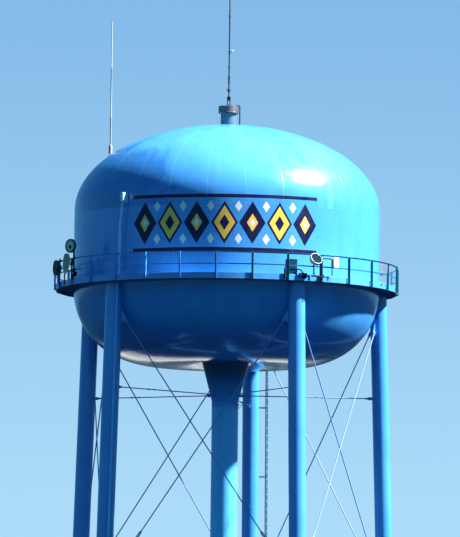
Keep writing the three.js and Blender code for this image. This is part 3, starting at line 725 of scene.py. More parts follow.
# Tank
def make_roof():
    hole_angle = math.degrees(math.acos(VENT_HOLE_R / TANK_R))
    inner_angle = math.degrees(math.acos(VENT_HOLE_R / (TANK_R - PLATE)))
    outer = arc(0, ROOF_SPRING, TANK_R, ROOF_RISE, 0, hole_angle, ROOF_STEPS)
    inner = arc(0, ROOF_SPRING, TANK_R - PLATE, ROOF_RISE - PLATE, inner_angle, 0, 14)
    foot_z = ROOF_SEAM + GAP
    kit = Kit()
    kit.ring([(TANK_R - PLATE, foot_z), (TANK_R, foot_z)] + outer + inner, TANK_SIDES)
    seam = outer[:-9]
    path = [(0, -r, z) for r, z in seam]
    normals = [(0, -r / TANK_R ** 2, (z - ROOF_SPRING) / ROOF_RISE ** 2) for r, z in seam]
    for k in range(ROOF_PLATES):
        kit.bead(path, normals, local=spin(ROOF_SEAM_START + 360 / ROOF_PLATES * k))
    kit.ring_bead(TANK_R, ROOF_SPRING, 1, 0)
    piece("domed_roof", kit, roof_paint, ["roof_dome"])


def make_course(level, low, high, seam_start):
    kit = Kit()
    kit.hoop(TANK_R - PLATE, TANK_R, low, high, TANK_SIDES)
    for k in range(SHELL_PLATES):
        turn = spin(seam_start + 360 / SHELL_PLATES * k)
        kit.upright_bead(TANK_R, low, high, 12, SEAM_WIDE, SEAM_HIGH, turn)
    kit.ring_bead(TANK_R, high - 0.001, 1, 0)
    piece("shell_course_" + level, kit, shell_paint, [f"shell_{level}_course"])


def make_bottom():
    outer = bottom_curve(0.0, CURVE_STEPS)
    inner = bottom_curve(-PLATE, INNER_CURVE_STEPS)[::-1]
    kit = Kit()
    kit.ring([(RIM_R, CROWN_Z)] + outer + inner + [(RIM_R, CROWN_Z + PLATE)], TANK_SIDES)
    knuckle = arc(KNUCKLE_CENTRE_R, KNUCKLE_Z, KNUCKLE_R, KNUCKLE_R, -KNUCKLE_ANGLE, 0,
                  CURVE_STEPS[2])
    path = [(0, -r, z) for r, z in knuckle]
    normals = [(0, KNUCKLE_CENTRE_R - r, z - KNUCKLE_Z) for r, z in knuckle]
    for k in range(KNUCKLE_PLATES):
        kit.bead(path, normals, local=spin(KNUCKLE_SEAM_START + 360 / KNUCKLE_PLATES * k))
    kit.ring_bead(*knuckle[0], math.cos(knuckle_turn), -math.sin(knuckle_turn))
    kit.ring_bead(TANK_R, KNUCKLE_Z - 0.001, 1, 0)
    piece("tank_underside", kit, bottom_paint, ["tank_bottom"])


# Riser
def make_riser_flare():
    top = CROWN_Z - 0.0005
    kit = Kit()
    kit.ring([(RISER_R - PLATE, RISER_SEAM), (RISER_R, RISER_SEAM),
              (RISER_R + 0.004, CONE_FOOT_Z - 0.05), (CONE_FOOT_R, CONE_FOOT_Z),
              (CONE_FOOT_R + 0.012, CONE_FOOT_Z + 0.06), (CONE_TOP_R, top),
              (CONE_TOP_R - PLATE, top), (CONE_FOOT_R - PLATE, CONE_FOOT_Z)], RISER_SIDES)
    kit.ring_bead(CONE_TOP_R - 0.004, CROWN_Z - 0.014, 0.7, -0.7, 0.030, 0.012, RISER_SIDES)
    kit.ring_bead(RISER_R + 0.001, RISER_SEAM, 1, 0, 0.05, 0.014, RISER_SIDES)
    kit.ring_bead(CONE_FOOT_R, CONE_FOOT_Z, 1, 0, 0.02, 0.004, RISER_SIDES)
    for k in range(6):
        kit.box((0.03, 0.07, 0.09), (0, -RISER_R - 0.02, RISER_SEAM + 0.055), spin(10 + 60 * k))
    piece("riser_flare", kit, riser_paint, ["riser_cone"])


def make_riser_tube():
    foot_r, foot_top = RISER_R + 0.18, 0.04
    bore, floor, top = RISER_R - PLATE, 0.05, RISER_SEAM - 0.0005
    kit = Kit()
    kit.turn([(0, 0), (foot_r, 0), (foot_r, foot_top), (RISER_R, foot_top), (RISER_R, top),
              (bore, top), (bore, floor), (0, floor)], RISER_SIDES)
    for i in range(1, 8):
        kit.ring_bead(RISER_R, RISER_SEAM - 2.45 * i, 1, 0, 0.018, 0.004, RISER_SIDES)
    kit.ring_bead(RISER_R + 0.004, floor, 0.7, 0.7, 0.02, 0.012, RISER_SIDES)
    for x, y in circle(RISER_R + 0.10, 16):
        kit.nut((x, y, foot_top), (0, 0, 1), 0.06, 0.03)
        kit.rod((x, y, foot_top), (x, y, foot_top + 0.06), 0.016, 10)
    piece("riser_tube", kit, riser_paint, ["riser_pipe"])


# Legs and bays
HALF_BAY = math.radians(HALF_STEP)
bay_tilt = math.atan(BATTER * math.cos(HALF_BAY))
PIN_REACH = 0.915
LEG_SEAM_TOP, LEG_SEAM_STEP, LEG_COURSES = 24.0, 2.72, 8


def leg_foot(turn):
    return spin(turn) @ at(0, -leg_axis_r(0), 0)


def leg_frame(turn):
    """Upright parts about the leg's own axis, leaned and turned into place."""
    return leg_foot(turn) @ lean(-math.atan(BATTER))


def bay_frame(turn):
    return spin(turn) @ at(0, -leg_axis_r(0) * math.cos(HALF_BAY), 0) @ lean(-bay_tilt)


def half_width(z):
    return leg_axis_r(z) * math.sin(HALF_BAY)


def rod_line(from_z, to_z):
    """A tie rod's line in its bay, from leg axis to leg axis, and its direction."""
    p = Vector((-half_width(from_z), 0, from_z / math.cos(bay_tilt)))
    q = Vector((half_width(to_z), 0, to_z / math.cos(bay_tilt)))
    return p, q, (q - p).normalized()


ROD_LINES = [rod_line(TOP_WORK, MID_WORK), rod_line(MID_WORK, TOP_WORK),
             rod_line(MID_WORK, LOW_WORK), rod_line(LOW_WORK, MID_WORK)]


def gusset_outline(line):
    """A plate from the leg's side, with a round nose where the rod's eye sits."""
    start, _, ahead = line
    side = Vector((ahead.z, 0, -ahead.x))
    rise = 1 if ahead.z > 0 else -1
    root, nose = LEG_R - 0.06, start + ahead * 0.92
    first = start + Vector((root, 0, rise * 0.18))
    last = start + Vector((root, 0, rise * 0.87))
    curve = [nose + ahead * x + side * y for x, y in arc(0, 0, 0.08, 0.08, -90, 90, 8)]
    if (curve[0] - first).length >= (curve[-1] - first).length:
        curve.reverse()
    flat = [(v.x, v.z) for v in [first] + curve + [last]]
    area = sum(a[0] * b[1] - b[0] * a[1] for a, b in zip(flat, flat[1:] + flat[:1]))
    return flat if area > 0 else flat[::-1]


def tank_tool():
    over_tank = 29.0
    kit = Kit()
    kit.turn([(0, CROWN_Z), (RIM_R, CROWN_Z)] + bottom_curve(GAP, CURVE_STEPS)
             + [(TANK_R, over_tank), (0, over_tank)], TANK_SIDES, phase=math.radians(0.9))
    return kit.mesh("tank_tool")


def leg_tube():
    """Leg tube at the front, coped where the tank passes through it."""
    low, top, steps = 0.02, FLOOR_Z - 0.0205, 30
    levels = [low + (top - low) * i / steps for i in range(steps + 1)]
    tube = Kit(leg_frame(0))
    tube.turn([(0, low)] + [(LEG_R, z) for z in levels] + [(0, top)], LEG_SIDES)
    cope_low, cope_mid, cope_high = 22.55, 23.2, 24.8
    inner = leg_axis_r(cope_low) - LEG_R - 0.02
    wedge = Kit(spin(90))
    wedge.plate([(-inner + 0.6, cope_high), (-inner + 0.6, cope_low), (-inner, cope_low),
                 (-inner - 0.2, cope_mid), (-inner - 0.2, cope_high)], 1.4)
    return carve(tube.mesh("leg_tube"), [tank_tool(), wedge.mesh("wedge")])


def make_leg(name, turn, tube):
    kit = Kit(spin(turn))
    kit.add_mesh(tube)
    kit.place = leg_frame(turn)
    for n in range(LEG_COURSES):
        high = LEG_SEAM_TOP - LEG_SEAM_STEP * n
        low = high - LEG_SEAM_STEP
        kit.ring([(LEG_R - 0.002, low - 0.012), (LEG_R + 0.003, low - 0.005),
                  (LEG_R + 0.0035, low + 0.005), (LEG_R - 0.002, low + 0.012)], LEG_SIDES)
        kit.upright_bead(LEG_R, low, high, 8, 0.014, 0.003, spin(150 + 47 * n))
    for side, flip in ((1, 0), (-1, 180)):
        kit.place = bay_frame(turn + HALF_STEP * side) @ spin(flip)
        for line in ROD_LINES:
            kit.plate(gusset_outline(line), 0.024)
    kit.place = leg_foot(turn)
    base_top, bolt_out = 0.04, 0.46
    kit.box((1.15, 1.15, base_top), (0, 0, base_top / 2))
    for x in (-bolt_out, bolt_out):
        for y in (-bolt_out, bolt_out):
            kit.rod((x, y, 0.03), (x, y, 0.16), 0.022, 12)
            kit.nut((x, y, base_top), (0, 0, 1), 0.085, 0.04)
            kit.nut((x, y, base_top + 0.042), (0, 0, 1), 0.085, 0.04)
    rib = [(LEG_R - 0.03, base_top), (LEG_R + 0.15, base_top), (LEG_R + 0.15, 0.07),
           (LEG_R + 0.02, 0.30), (LEG_R - 0.03, 0.30)]
    for k in range(8):
        kit.plate(rib, 0.016, spin(45 * k + 22.5))
    piece(name + "_leg_column", kit, steel_paint, [name + "_leg"], 0.003)


def eye_end(kit, start, ahead, side):
    """A forged eye that laps a gusset, with its bolt."""
    off, pin = Vector((0, side, 0)), start + ahead * PIN_REACH
    low, high = sorted((-side * 0.0135, -side * 0.0405))
    kit.turn([(0, low), (0.068, low), (0.074, low + 0.004), (0.074, high - 0.004), (0.068, high),
              (0, high)], 28, Matrix.Translation(pin) @ lean(math.pi / 2))
    neck = [pin + off * 0.027 + ahead * t for t in (0.05, 0.13, 0.22)]
    kit.sweep(neck, [0.042, 0.034, 0.0265], 14)
    kit.nut(pin + off * 0.040, off, 0.082, 0.030)
    kit.nut(pin - off * 0.012, -off, 0.082, 0.026)
    kit.rod(pin - off * 0.05, pin + off * 0.084, 0.022, 14)


def turnbuckle(kit, centre, ahead, length, rod_r):
    """Two bowed bars between threaded ends."""
    side = ahead.cross(Vector((0, 1, 0))).normalized()
    if side.length < 0.5:
        side = Vector((1, 0, 0))
    for s in (-1, 1):
        bar = [centre + side * s * rod_r * out + ahead * length * t
               for out, t in ((1.2, -0.5), (1.9, -0.3), (1.9, 0.3), (1.2, 0.5))]
        kit.sweep(bar, [rod_r * 0.55, rod_r * 0.62, rod_r * 0.62, rod_r * 0.55], 10)
        kit.rod(centre + ahead * s * length * 0.42, centre + ahead * s * length * 0.56,
                rod_r * 1.75, 18, rod_r * 1.5)


def tie_rod(kit, line, side):
    """One rod of a crossed pair, on its own side of the gussets, with its turnbuckle low down."""
    p, q, ahead = line
    off, inset = Vector((0, side * 0.026, 0)), ahead * (PIN_REACH + 0.2)
    kit.rod(p + off + inset, q + off - inset, ROD_R, 14)
    eye_end(kit, p, ahead, side)
    eye_end(kit, q, -ahead, side)
    buckle_in = 2.6 if ahead.z > 0 else (q - p).length - 2.6
    turnbuckle(kit, p + off + ahead * buckle_in, ahead, 0.42, ROD_R)


def make_bay(name, place):
    for level, lines in (("upper", ROD_LINES[:2]), ("lower", ROD_LINES[2:])):
        for which, line, side in zip("ab", lines, (1, -1)):
            kit = Kit(place)
            tie_rod(kit, line, side)
            piece(f"{name}_{level}_tie_{which}", kit, rod_paint,
                  [f"{name}_{level}_rod_{which}"])
    kit = Kit(place)
    half = half_width(MID_WORK) - LEG_R + 0.02
    z = MID_WORK / math.cos(bay_tilt)
    kit.rod((-half, 0, z), (half, 0, z), STRUT_R, 40)
    for s in (-1, 1):
        kit.rod((s * (half - 0.03), 0, z), (s * (half - 0.055), 0, z), STRUT_R + 0.012, 40,
                STRUT_R + 0.003)
        kit.rod((s * 1.3, 0, z), (s * 1.322, 0, z), STRUT_R + 0.004, 40)
    piece(name + "_strut_tube", kit, steel_paint, [name + "_strut"])


def make_stay(name, place):
    """A level rod from the riser's flare to a leg, with a clevis and a pin at each end."""
    cone_slope = (CONE_TOP_R - CONE_FOOT_R) / (CROWN_Z - CONE_FOOT_Z)
    inner = CONE_FOOT_R + cone_slope * (STAY_Z - CONE_FOOT_Z)
    outer = leg_axis_r(STAY_Z) - LEG_R
    kit = Kit(place @ at(0, 0, STAY_Z))
    kit.rod((0, -inner - 0.16, 0), (0, -outer + 0.16, 0), STAY_R, 14)
    for r, s in ((inner, 1), (outer, -1)):
        pin = -r - s * 0.145
        kit.box((0.020, 0.20, 0.13), (0, -r - s * 0.085, 0))
        kit.rod((-0.055, pin, 0), (0.055, pin, 0), 0.017, 12)
        for e in (-1, 1):
            kit.box((0.014, 0.17, 0.075), (e * 0.018, -r - s * 0.20, 0))
            kit.nut((e * 0.026, pin, 0), (e, 0, 0), 0.06, 0.022)
        kit.rod((0, -r - s * 0.25, 0), (0, -r - s * 0.32, 0), 0.034, 14, 0.024)
    turnbuckle(kit, Vector((0, -(inner * 0.35 + outer * 0.65), 0)), Vector((0, 1, 0)), 0.36, STAY_R)
    piece(name + "_riser_stay_rod", kit, rod_paint, [name + "_riser_stay"], 0.002)


# Balcony
def make_deck():
    floor_low, rib_in, rib_out = FLOOR_Z - 0.02, TANK_R + 0.03, BALCONY_R - 0.02
    floor, hatch = Kit(), Kit()
    floor.hoop(TANK_R + GAP, BALCONY_R - 0.006, floor_low, FLOOR_Z, TANK_SIDES)
    hatch.box((0.72, 0.56, 0.2), (0.93, 6.84, FLOOR_Z))
    kit = Kit()
    kit.add_mesh(carve(floor.mesh("floor"), [hatch.mesh("hatch")]))
    lip = BALCONY_R - 0.075
    kit.ring([(lip, DECK), (BALCONY_R, DECK), (BALCONY_R, FASCIA_TOP),
              (BALCONY_R - PLATE, FASCIA_TOP), (BALCONY_R - PLATE, DECK + PLATE),
              (lip, DECK + PLATE)], TANK_SIDES)
    rib = [(-rib_in, DECK + 0.06), (-rib_out, DECK + 0.014), (-rib_out, floor_low),
           (-rib_in, floor_low)]
    for k in range(30):
        kit.plate(rib, 0.010, spin(12 * k + 90))
    for k in range(15):
        kit.upright_bead(BALCONY_R, DECK, FASCIA_TOP, 4, 0.016, 0.003, spin(24 * k + 1.5))
    piece("balcony_deck", kit, deck_paint, ["balcony_floor"], 0.002)


def make_railing():
    face = BALCONY_R + GAP
    sheet, rim = 0.006, face + 0.004
    kit = Kit()
    for top, back in ((TOP_RAIL, face - 0.046), (MID_RAIL, face - 0.012)):
        kit.ring([(back, top - 0.05), (back + sheet, top - 0.05), (back + sheet, top - sheet),
                  (rim, top - sheet), (rim, top), (back, top)], TANK_SIDES)
    angle_bar = [(-0.04, 0), (-0.04, -0.008), (0.032, -0.008), (0.032, -0.08), (0.04, -0.08),
                 (0.04, 0)]
    n = len(angle_bar)
    points = [(x, y, z) for z in (DECK, TOP_RAIL - 0.005) for x, y in angle_bar]
    faces = [list(range(n))[::-1], list(range(n, 2 * n))]
    faces += [[j, (j + 1) % n, (j + 1) % n + n, j + n] for j in range(n)]
    for k in range(30):
        kit.place = spin(6 + 12 * k) @ at(0, -face, 0)
        kit.add(points, faces)
        kit.box((0.095, 0.008, 0.21), (-0.0565, -0.012, DECK + 0.125))
        for z in (DECK + 0.05, DECK + 0.19):
            for x in (-0.012, -0.075):
                kit.nut((x, -0.016, z), (0, -1, 0), 0.030, 0.013)
        for z in (TOP_RAIL - 0.028, MID_RAIL - 0.03):
            kit.nut((-0.012, -0.008, z), (0, -1, 0), 0.024, 0.010)
    piece("balcony_railing", kit, rail_paint, ["railing"], 0.0015)


def make_ladder():
    """Two flats with rungs beside the back leg, on stand-offs."""
    x, mid_y, half = -0.66, -0.266, 0.2
    low, high = 0.3, FLOOR_Z + 1.0
    kit = Kit(leg_frame(180))
    for y in (mid_y - half, mid_y + half):
        kit.box((0.058, 0.010, high - low), (x, y, (low + high) / 2))
    for z in every(0.32, low + 0.15, high - 0.1):
        kit.rod((x, mid_y - half, z), (x, mid_y + half, z), 0.0125, 12)
    for z in every(3.0, 2.2, DECK - 1.0):
        kit.box((0.31, 0.012, 0.06), (x + 0.155, mid_y + half, z))
        kit.nut((x + 0.01, mid_y + half + 0.007, z), (0, 1, 0), 0.024, 0.010)
        kit.box((0.31, 0.010, 0.05), (x + 0.155, mid_y - half, z))
        kit.box((0.012, 0.40, 0.05), (x + 0.30, mid_y, z))
    piece("ladder", kit, ladder_paint, ["back_leg_ladder"], 0.0012)


# Overflow pipe: a weir box at the roof edge, a leaning top and a run beside the shell
OVERFLOW_R, OVERFLOW_AXIS_R = 0.050, 6.700


def weir_box(kit, x, z):
    wide, back, front = 0.085, TANK_R - 0.004, OVERFLOW_AXIS_R + 0.085
    outline = arc(x, z - 0.115, wide, wide, 180, 360, 12)
    outline += [(x + wide, z + 0.17), (x + 0.055, z + 0.20), (x - 0.055, z + 0.20),
                (x - wide, z + 0.17)]
    kit.plate(outline, front - back, lift=-(front + back) / 2)
    kit.box((0.215, 0.010, 0.41), (x, -TANK_R - 0.004, z - 0.02))
    for dz in (-0.16, 0.0, 0.13):
        for dx in (-0.098, 0.098):
            kit.nut((x + dx, -TANK_R - 0.009, z + dz), (0, -1, 0), 0.020, 0.008)


def make_overflow_on_shell():
    pr, axis = OVERFLOW_R, OVERFLOW_AXIS_R
    foot, bend_z, weir_x, weir_z, reach = FLOOR_Z + 0.0005, 26.90, 0.150, ROOF_SEAM + 0.38, 0.08
    kit = Kit(spin(-32.4))
    start, corner = Vector((0, -axis, bend_z - reach)), Vector((0, -axis, bend_z))
    top = Vector((weir_x, -axis, weir_z - 0.11))
    kit.rod((0, -axis, foot), start, pr, 32)
    kit.sweep(bend(start, corner, corner + (top - corner).normalized() * reach, 8) + [top], pr, 28)
    on_pipe = at(0, -axis, 0)
    stand_off, middle = axis - TANK_R + 0.01, -(axis + TANK_R) / 2 + 0.005
    for z in (FLOOR_Z + 0.6, COURSE_SEAM + 0.3):
        kit.box((0.06, stand_off, 0.008), (0, middle, z))
        kit.box((0.008, stand_off, 0.04), (0, middle, z))
        kit.hoop(pr, pr + 0.008, z - 0.025, z + 0.025, 32, on_pipe)
        kit.nut((0.060, -axis, z), (1, 0, 0), 0.026, 0.012)
    kit.hoop(pr, pr + 0.05, foot, FLOOR_Z + 0.014, 32, on_pipe)
    weir_box(kit, weir_x, weir_z)
    piece("overflow_on_shell", kit, pipe_paint, ["overflow_pipe_upper"])


def make_overflow_on_leg():
    pr = OVERFLOW_R
    axis = LEG_R * math.cos(math.pi / 20) + GAP + 0.025 + pr
    low, high = 0.4, FLOOR_Z - 0.031
    bracket_in = LEG_R - 0.02
    kit = Kit(leg_frame(-36) @ spin(63))
    kit.rod((0, -axis, low), (0, -axis, high), pr, 32)
    on_pipe = at(0, -axis, 0)
    for z in every(2.9, low + 0.6, high):
        kit.box((0.05, axis - bracket_in, 0.05), (0, -(axis + bracket_in) / 2, z))
        kit.hoop(pr, pr + 0.006, z - 0.02, z + 0.02, 32, on_pipe)
        kit.hoop(pr, pr + 0.012, z + 1.4, z + 1.46, 32, on_pipe)
    piece("overflow_on_leg", kit, leg_pipe_paint, ["overflow_pipe_lower"])


# Roof vent, its cap, the mast and its conduit
def make_vent():
    inner, lip_r = VENT_R - 0.012, VENT_R - 0.004
    low, high = roof_z(VENT_R) - 0.006, VENT_TOP - 0.060
    kit = Kit()
    kit.ring([(inner, low), (VENT_R, low), (VENT_R, high - 0.03), (lip_r, high - 0.026),
              (lip_r, high), (inner, high)], 72)
    kit.ring_bead(VENT_R, low + 0.16, 1, 0, 0.030, 0.006, 72)
    kit.ring_bead(VENT_R + 0.004, low + 0.012, 0.7, 0.7, 0.030, 0.008, 72)
    bar_tall, bar_z = VENT_TOP - high + 0.04, (high + VENT_TOP) / 2 - 0.02
    for k in range(12):
        turn = spin(30 * k + 8)
        kit.box((0.030, 0.008, bar_tall), (0, -VENT_R + 0.010, bar_z), turn)
        kit.nut((0, -VENT_R + 0.005, high - 0.02), (0, -1, 0), 0.022, 0.006, turn)
    piece("vent_neck", kit, faded_metal, ["roof_vent"], 0.0015)

    wire, screen_r = 0.0015, VENT_R - 0.016
    kit = Kit()
    for k in range(120):
        kit.rod((0, -screen_r, high - 0.01), (0, -screen_r, VENT_TOP), wire, 4, local=spin(3 * k))
    for k in range(5):
        z = high + 0.010 * (k + 0.5)
        kit.hoop(screen_r - wire, screen_r + wire, z - wire, z + wire, 72)
    piece("vent_screen", kit, dark_metal)


def make_vent_lid():
    low = VENT_TOP + GAP
    profile = [(0.012, low), (0.004, low), (0, low + 0.006), (0, low + 0.024), (0.006, low + 0.030),
               (0.006, CAP_TOP - 0.052), (0.001, CAP_TOP - 0.045), (0.001, CAP_TOP - 0.032),
               (0.012, CAP_TOP - 0.022), (0.062, CAP_TOP - 0.004)]
    kit = Kit()
    outer = [(CAP_R - inset, z) for inset, z in profile]
    kit.turn([(0, low + 0.02), (CAP_R - 0.012, low + 0.02)] + outer + [(0, CAP_TOP - 0.001)], 96)
    for k in range(8):
        turn = spin(45 * k + 20)
        kit.box((0.012, 0.20, 0.003), (0, -0.26, CAP_TOP - 0.0015), turn)
        kit.nut((0, -CAP_R + 0.006, low + 0.14), (0, -1, 0), 0.026, 0.006, turn)
    piece("vent_lid", kit, cap_metal, ["vent_cap"], 0.001)


FORK_TOP = CAP_TOP + 0.400
ARM_Z = 34.96


def mast_fork(kit):
    """The mast's foot: a plate, two cheeks and a block between them."""
    low = CAP_TOP + GAP
    kit.box((0.20, 0.12, 0.014), (0, 0, low + 0.007))
    for side in (-1, 1):
        for y in (-0.044, 0.044):
            kit.nut((side * 0.083, y, low + 0.014), (0, 0, 1), 0.026, 0.014)
        x = side * 0.055
        kit.plate([(x - 0.018, low + 0.010), (x + 0.018, low + 0.010), (x + 0.018, FORK_TOP - 0.020),
                   (x + 0.008, FORK_TOP - 0.010), (x - 0.008, FORK_TOP - 0.010),
                   (x - 0.018, FORK_TOP - 0.020)], 0.058)
        for z in (low + 0.06, FORK_TOP - 0.12):
            kit.nut((side * 0.073, 0, z), (side, 0, 0), 0.024, 0.010)
    kit.box((0.15, 0.088, 0.068), (0, 0, FORK_TOP - 0.035))
    kit.box((0.070, 0.076, 0.12), (0, 0, FORK_TOP - 0.115))
    kit.rod((-0.073, 0, low + 0.06), (0.073, 0, low + 0.06), 0.008, 10)


def make_mast():
    joint, clamp = 36.45, 34.27
    collar, sleeve = FORK_TOP + 0.200, FORK_TOP + 0.550
    kit = Kit()
    mast_fork(kit)
    kit.turn([(0, FORK_TOP - 0.02), (MAST_R, FORK_TOP - 0.02), (MAST_R, collar),
              (0.060, collar + 0.004), (0.075, collar + 0.018), (0.075, collar + 0.122),
              (0.060, collar + 0.136), (MAST_R, collar + 0.140), (MAST_R, sleeve - 0.02),
              (0.045, sleeve), (0.045, sleeve + 0.36), (MAST_R, sleeve + 0.38),
              (MAST_R, clamp - 0.035), (0.046, clamp - 0.025), (0.046, clamp + 0.025),
              (MAST_R, clamp + 0.035), (MAST_R, joint - 0.05), (0.044, joint - 0.045),
              (0.044, joint + 0.045), (MAST_R - 0.003, joint + 0.05),
              (MAST_R - 0.003, MAST_TOP - 0.02), (MAST_R - 0.012, MAST_TOP), (0, MAST_TOP)], 32)
    for z in (sleeve + 0.06, sleeve + 0.30):
        kit.collar(0.044, 0.049, z, 0.012, 32)
        kit.nut((0.049, 0, z), (1, 0, 0), 0.018, 0.012)
    kit.box((0.120, 0.014, 0.018), (0.060, 0, ARM_Z - 0.030))
    kit.collar(MAST_R - 0.002, MAST_R + 0.008, ARM_Z - 0.030, 0.025, 24)
    piece("mast_tube", kit, dark_metal, ["roof_mast"], 0.0012)

    kit = Kit(at(0, 0, ARM_Z))
    kit.turn([(0, -0.040), (0.016, -0.040), (0.020, -0.028), (0.028, -0.026), (0.030, -0.018),
              (0.030, 0.022), (0.024, 0.034), (0.012, 0.041), (0, 0.043)], 28, at(0.140, 0, 0))
    kit.rod((0.085, 0, 0), (0.115, 0, 0), 0.026, 20, 0.022)
    piece("mast_side_antenna", kit, white_plastic)


def make_mast_conduit():
    run_r, top, bend_r = CAP_R + 0.034, CAP_TOP - 0.045, 0.06
    foot = roof_z(run_r) - 0.004
    line = [(run_r, foot), (run_r, top)] + arc(run_r - bend_r, top, bend_r, bend_r, 0, 90, 8)[1:]
    line += [(0.16, CAP_TOP + 0.022), (0.10, CAP_TOP + 0.035)]
    kit = Kit(spin(99))
    kit.sweep([(0, -r, z) for r, z in line], [0.026] * 2 + [0.024] * 8 + [0.020] * 2, 18)
    kit.place = kit.place @ at(0, -run_r, 0)
    for z in (foot + 0.204, CAP_TOP - 0.12):
        kit.collar(0.025, 0.031, z, 0.015, 24)
    kit.turn([(0, foot), (0.06, foot), (0.06, foot + 0.010), (0.03, foot + 0.030),
              (0, foot + 0.030)], 24)
    piece("mast_conduit", kit, frame_paint)


def make_whip():
    """Whip aerial on the left of the roof, in a socket on gussets."""
    place = spin(-70.5) @ at(0, -WHIP_R, 0)
    foot = roof_z(WHIP_R + 0.075) - 0.010
    kit = Kit(place)
    kit.turn([(0, foot + 0.46), (0.034, foot + 0.46), (0.0345, 31.9), (0.036, 31.91), (0.036, 32.02),
              (0.031, 32.03), (0.029, 34.0), (0.033, 34.01), (0.033, 34.07), (0.027, 34.08),
              (0.022, WHIP_TOP - 0.02), (0.014, WHIP_TOP), (0, WHIP_TOP)], 24)
    piece("whip_tube", kit, whip_plastic, ["whip_aerial"])

    kit = Kit(place @ at(0, 0, foot))
    kit.turn([(0, 0), (0.075, 0), (0.075, 0.44), (0.062, 0.47), (0.045, 0.49), (0, 0.49)], 36)
    for k in range(4):
        kit.plate([(0.06, 0), (0.120, 0.02), (0.120, 0.04), (0.075, 0.16), (0.06, 0.22)], 0.010,
                  spin(45 + 90 * k))
    for z in (0.30, 0.40):
        kit.collar(0.074, 0.080, z, 0.014, 36)
        kit.nut((0.080, 0, z), (1, 0, 0), 0.024, 0.018)
    piece("whip_base", kit, whip_plastic)


# Aerials on the railing, each drawn at the front and turned into place
RAIL_FLAT_R = (BALCONY_R + 0.0043) * math.cos(math.pi / 60) + GAP
POLE_AXIS_R = BALCONY_R + 0.115
POLE_R = 0.030
UPPER_CLAMP, LOWER_CLAMP = TOP_RAIL - 0.025, MID_RAIL - 0.025
POLE_FOOT = FASCIA_TOP + 0.010
LEFT_POLE_TURN, BLADE_TURN, SHALLOW_TURN = -51, -57, -63
DISH_TURN, FRAME_TURN = 39, 45


def clamps(kit, x=0.0, to_r=POLE_AXIS_R, levels=(UPPER_CLAMP, LOWER_CLAMP), grip=POLE_R):
    """Brackets from the rails out to a pole, each with a saddle, a U-bolt and nuts."""
    depth, back = to_r - RAIL_FLAT_R, -to_r + grip
    loop = grip + 0.006
    for z in levels:
        for side in (-1, 1):
            kit.box((0.050, depth, 0.006), (x, -RAIL_FLAT_R - depth / 2, z + side * 0.017))
            kit.nut((x + side * loop, back + 0.008, z), (0, 1, 0), 0.022, 0.010)
        kit.box((0.050, 0.008, 0.040), (x, -RAIL_FLAT_R - 0.004, z))
        kit.box((0.112, 0.008, 0.056), (x, back + 0.004, z))
        bolt = [(x - loop, back + 0.03)] + arc(x, -to_r, loop, loop, 180, 360, 12)
        kit.sweep([(u, y, z) for u, y in bolt + [(x + loop, back + 0.03)]], 0.006, 10)


def pole(kit, low, high):
    kit.turn([(0, low), (POLE_R, low), (POLE_R, high - 0.008), (POLE_R - 0.008, high), (0, high)],
             28, at(0, -POLE_AXIS_R, 0))


def aim(turn, tilt, z):
    """A frame on a pole with +Z pointing outwards along an antenna's axis."""
    return at(0, -POLE_AXIS_R, z) @ spin(turn) @ lean(math.radians(90 - tilt))


def make_left_pole():
    kit = Kit(spin(LEFT_POLE_TURN))
    pole(kit, POLE_FOOT, 26.25)
    clamps(kit)
    kit.box((0.13, 0.05, 0.05), (-0.02, -POLE_AXIS_R - 0.01, 25.02))
    piece("left_antenna_pole", kit, frame_paint, ["left_aerial_pole"], 0.0012)


def make_drum():
    """Drum aerial at the pole's head: a deep rim, a pale face and a dark hub."""
    r, sides = 0.294, 72
    place = spin(LEFT_POLE_TURN) @ aim(15, 0, 26.185)
    kit = Kit(place)
    kit.turn([(0, 0.030), (0.055, 0.030), (0.055, 0.090), (0.090, 0.094), (0.200, 0.104),
              (0.270, 0.126), (0.288, 0.140), (r, 0.152), (r, 0.232), (r - 0.003, 0.239),
              (r - 0.012, 0.239), (r - 0.016, 0.224), (0, 0.224)], sides)
    kit.band(r - 0.003, 0.196, 0.216, 0.003, sides)
    for x, y in circle(0.255, 8):
        kit.nut((x, y, 0.118), (0, 0, -1), 0.022, 0.010)
    for side in (-1, 1):
        kit.plate([(-0.05, 0.0), (0.05, 0.0), (0.05, 0.075), (0.11, 0.098), (-0.11, 0.098),
                   (-0.05, 0.075)], 0.012, lift=side * 0.048)
        kit.box((0.12, 0.012, 0.09), (0, side * 0.036, 0.01))
    piece("left_drum_body", kit, drum_paint, ["left_drum_aerial"], 0.0012)
    kit = Kit(place)
    kit.turn([(0, 0.2243), (r * 0.78, 0.2243), (r * 0.78, 0.227), (r * 0.6, 0.2315),
              (r * 0.35, 0.2340), (0, 0.2350)], sides)
    piece("left_drum_face", kit, olive_plastic)
    kit = Kit(place @ at(0.012, -0.045, 0))
    kit.turn([(0, 0.231), (0.078, 0.231), (0.076, 0.2360), (0.050, 0.2385), (0, 0.2390)], 28)
    piece("left_drum_hub", kit, dark_plastic)


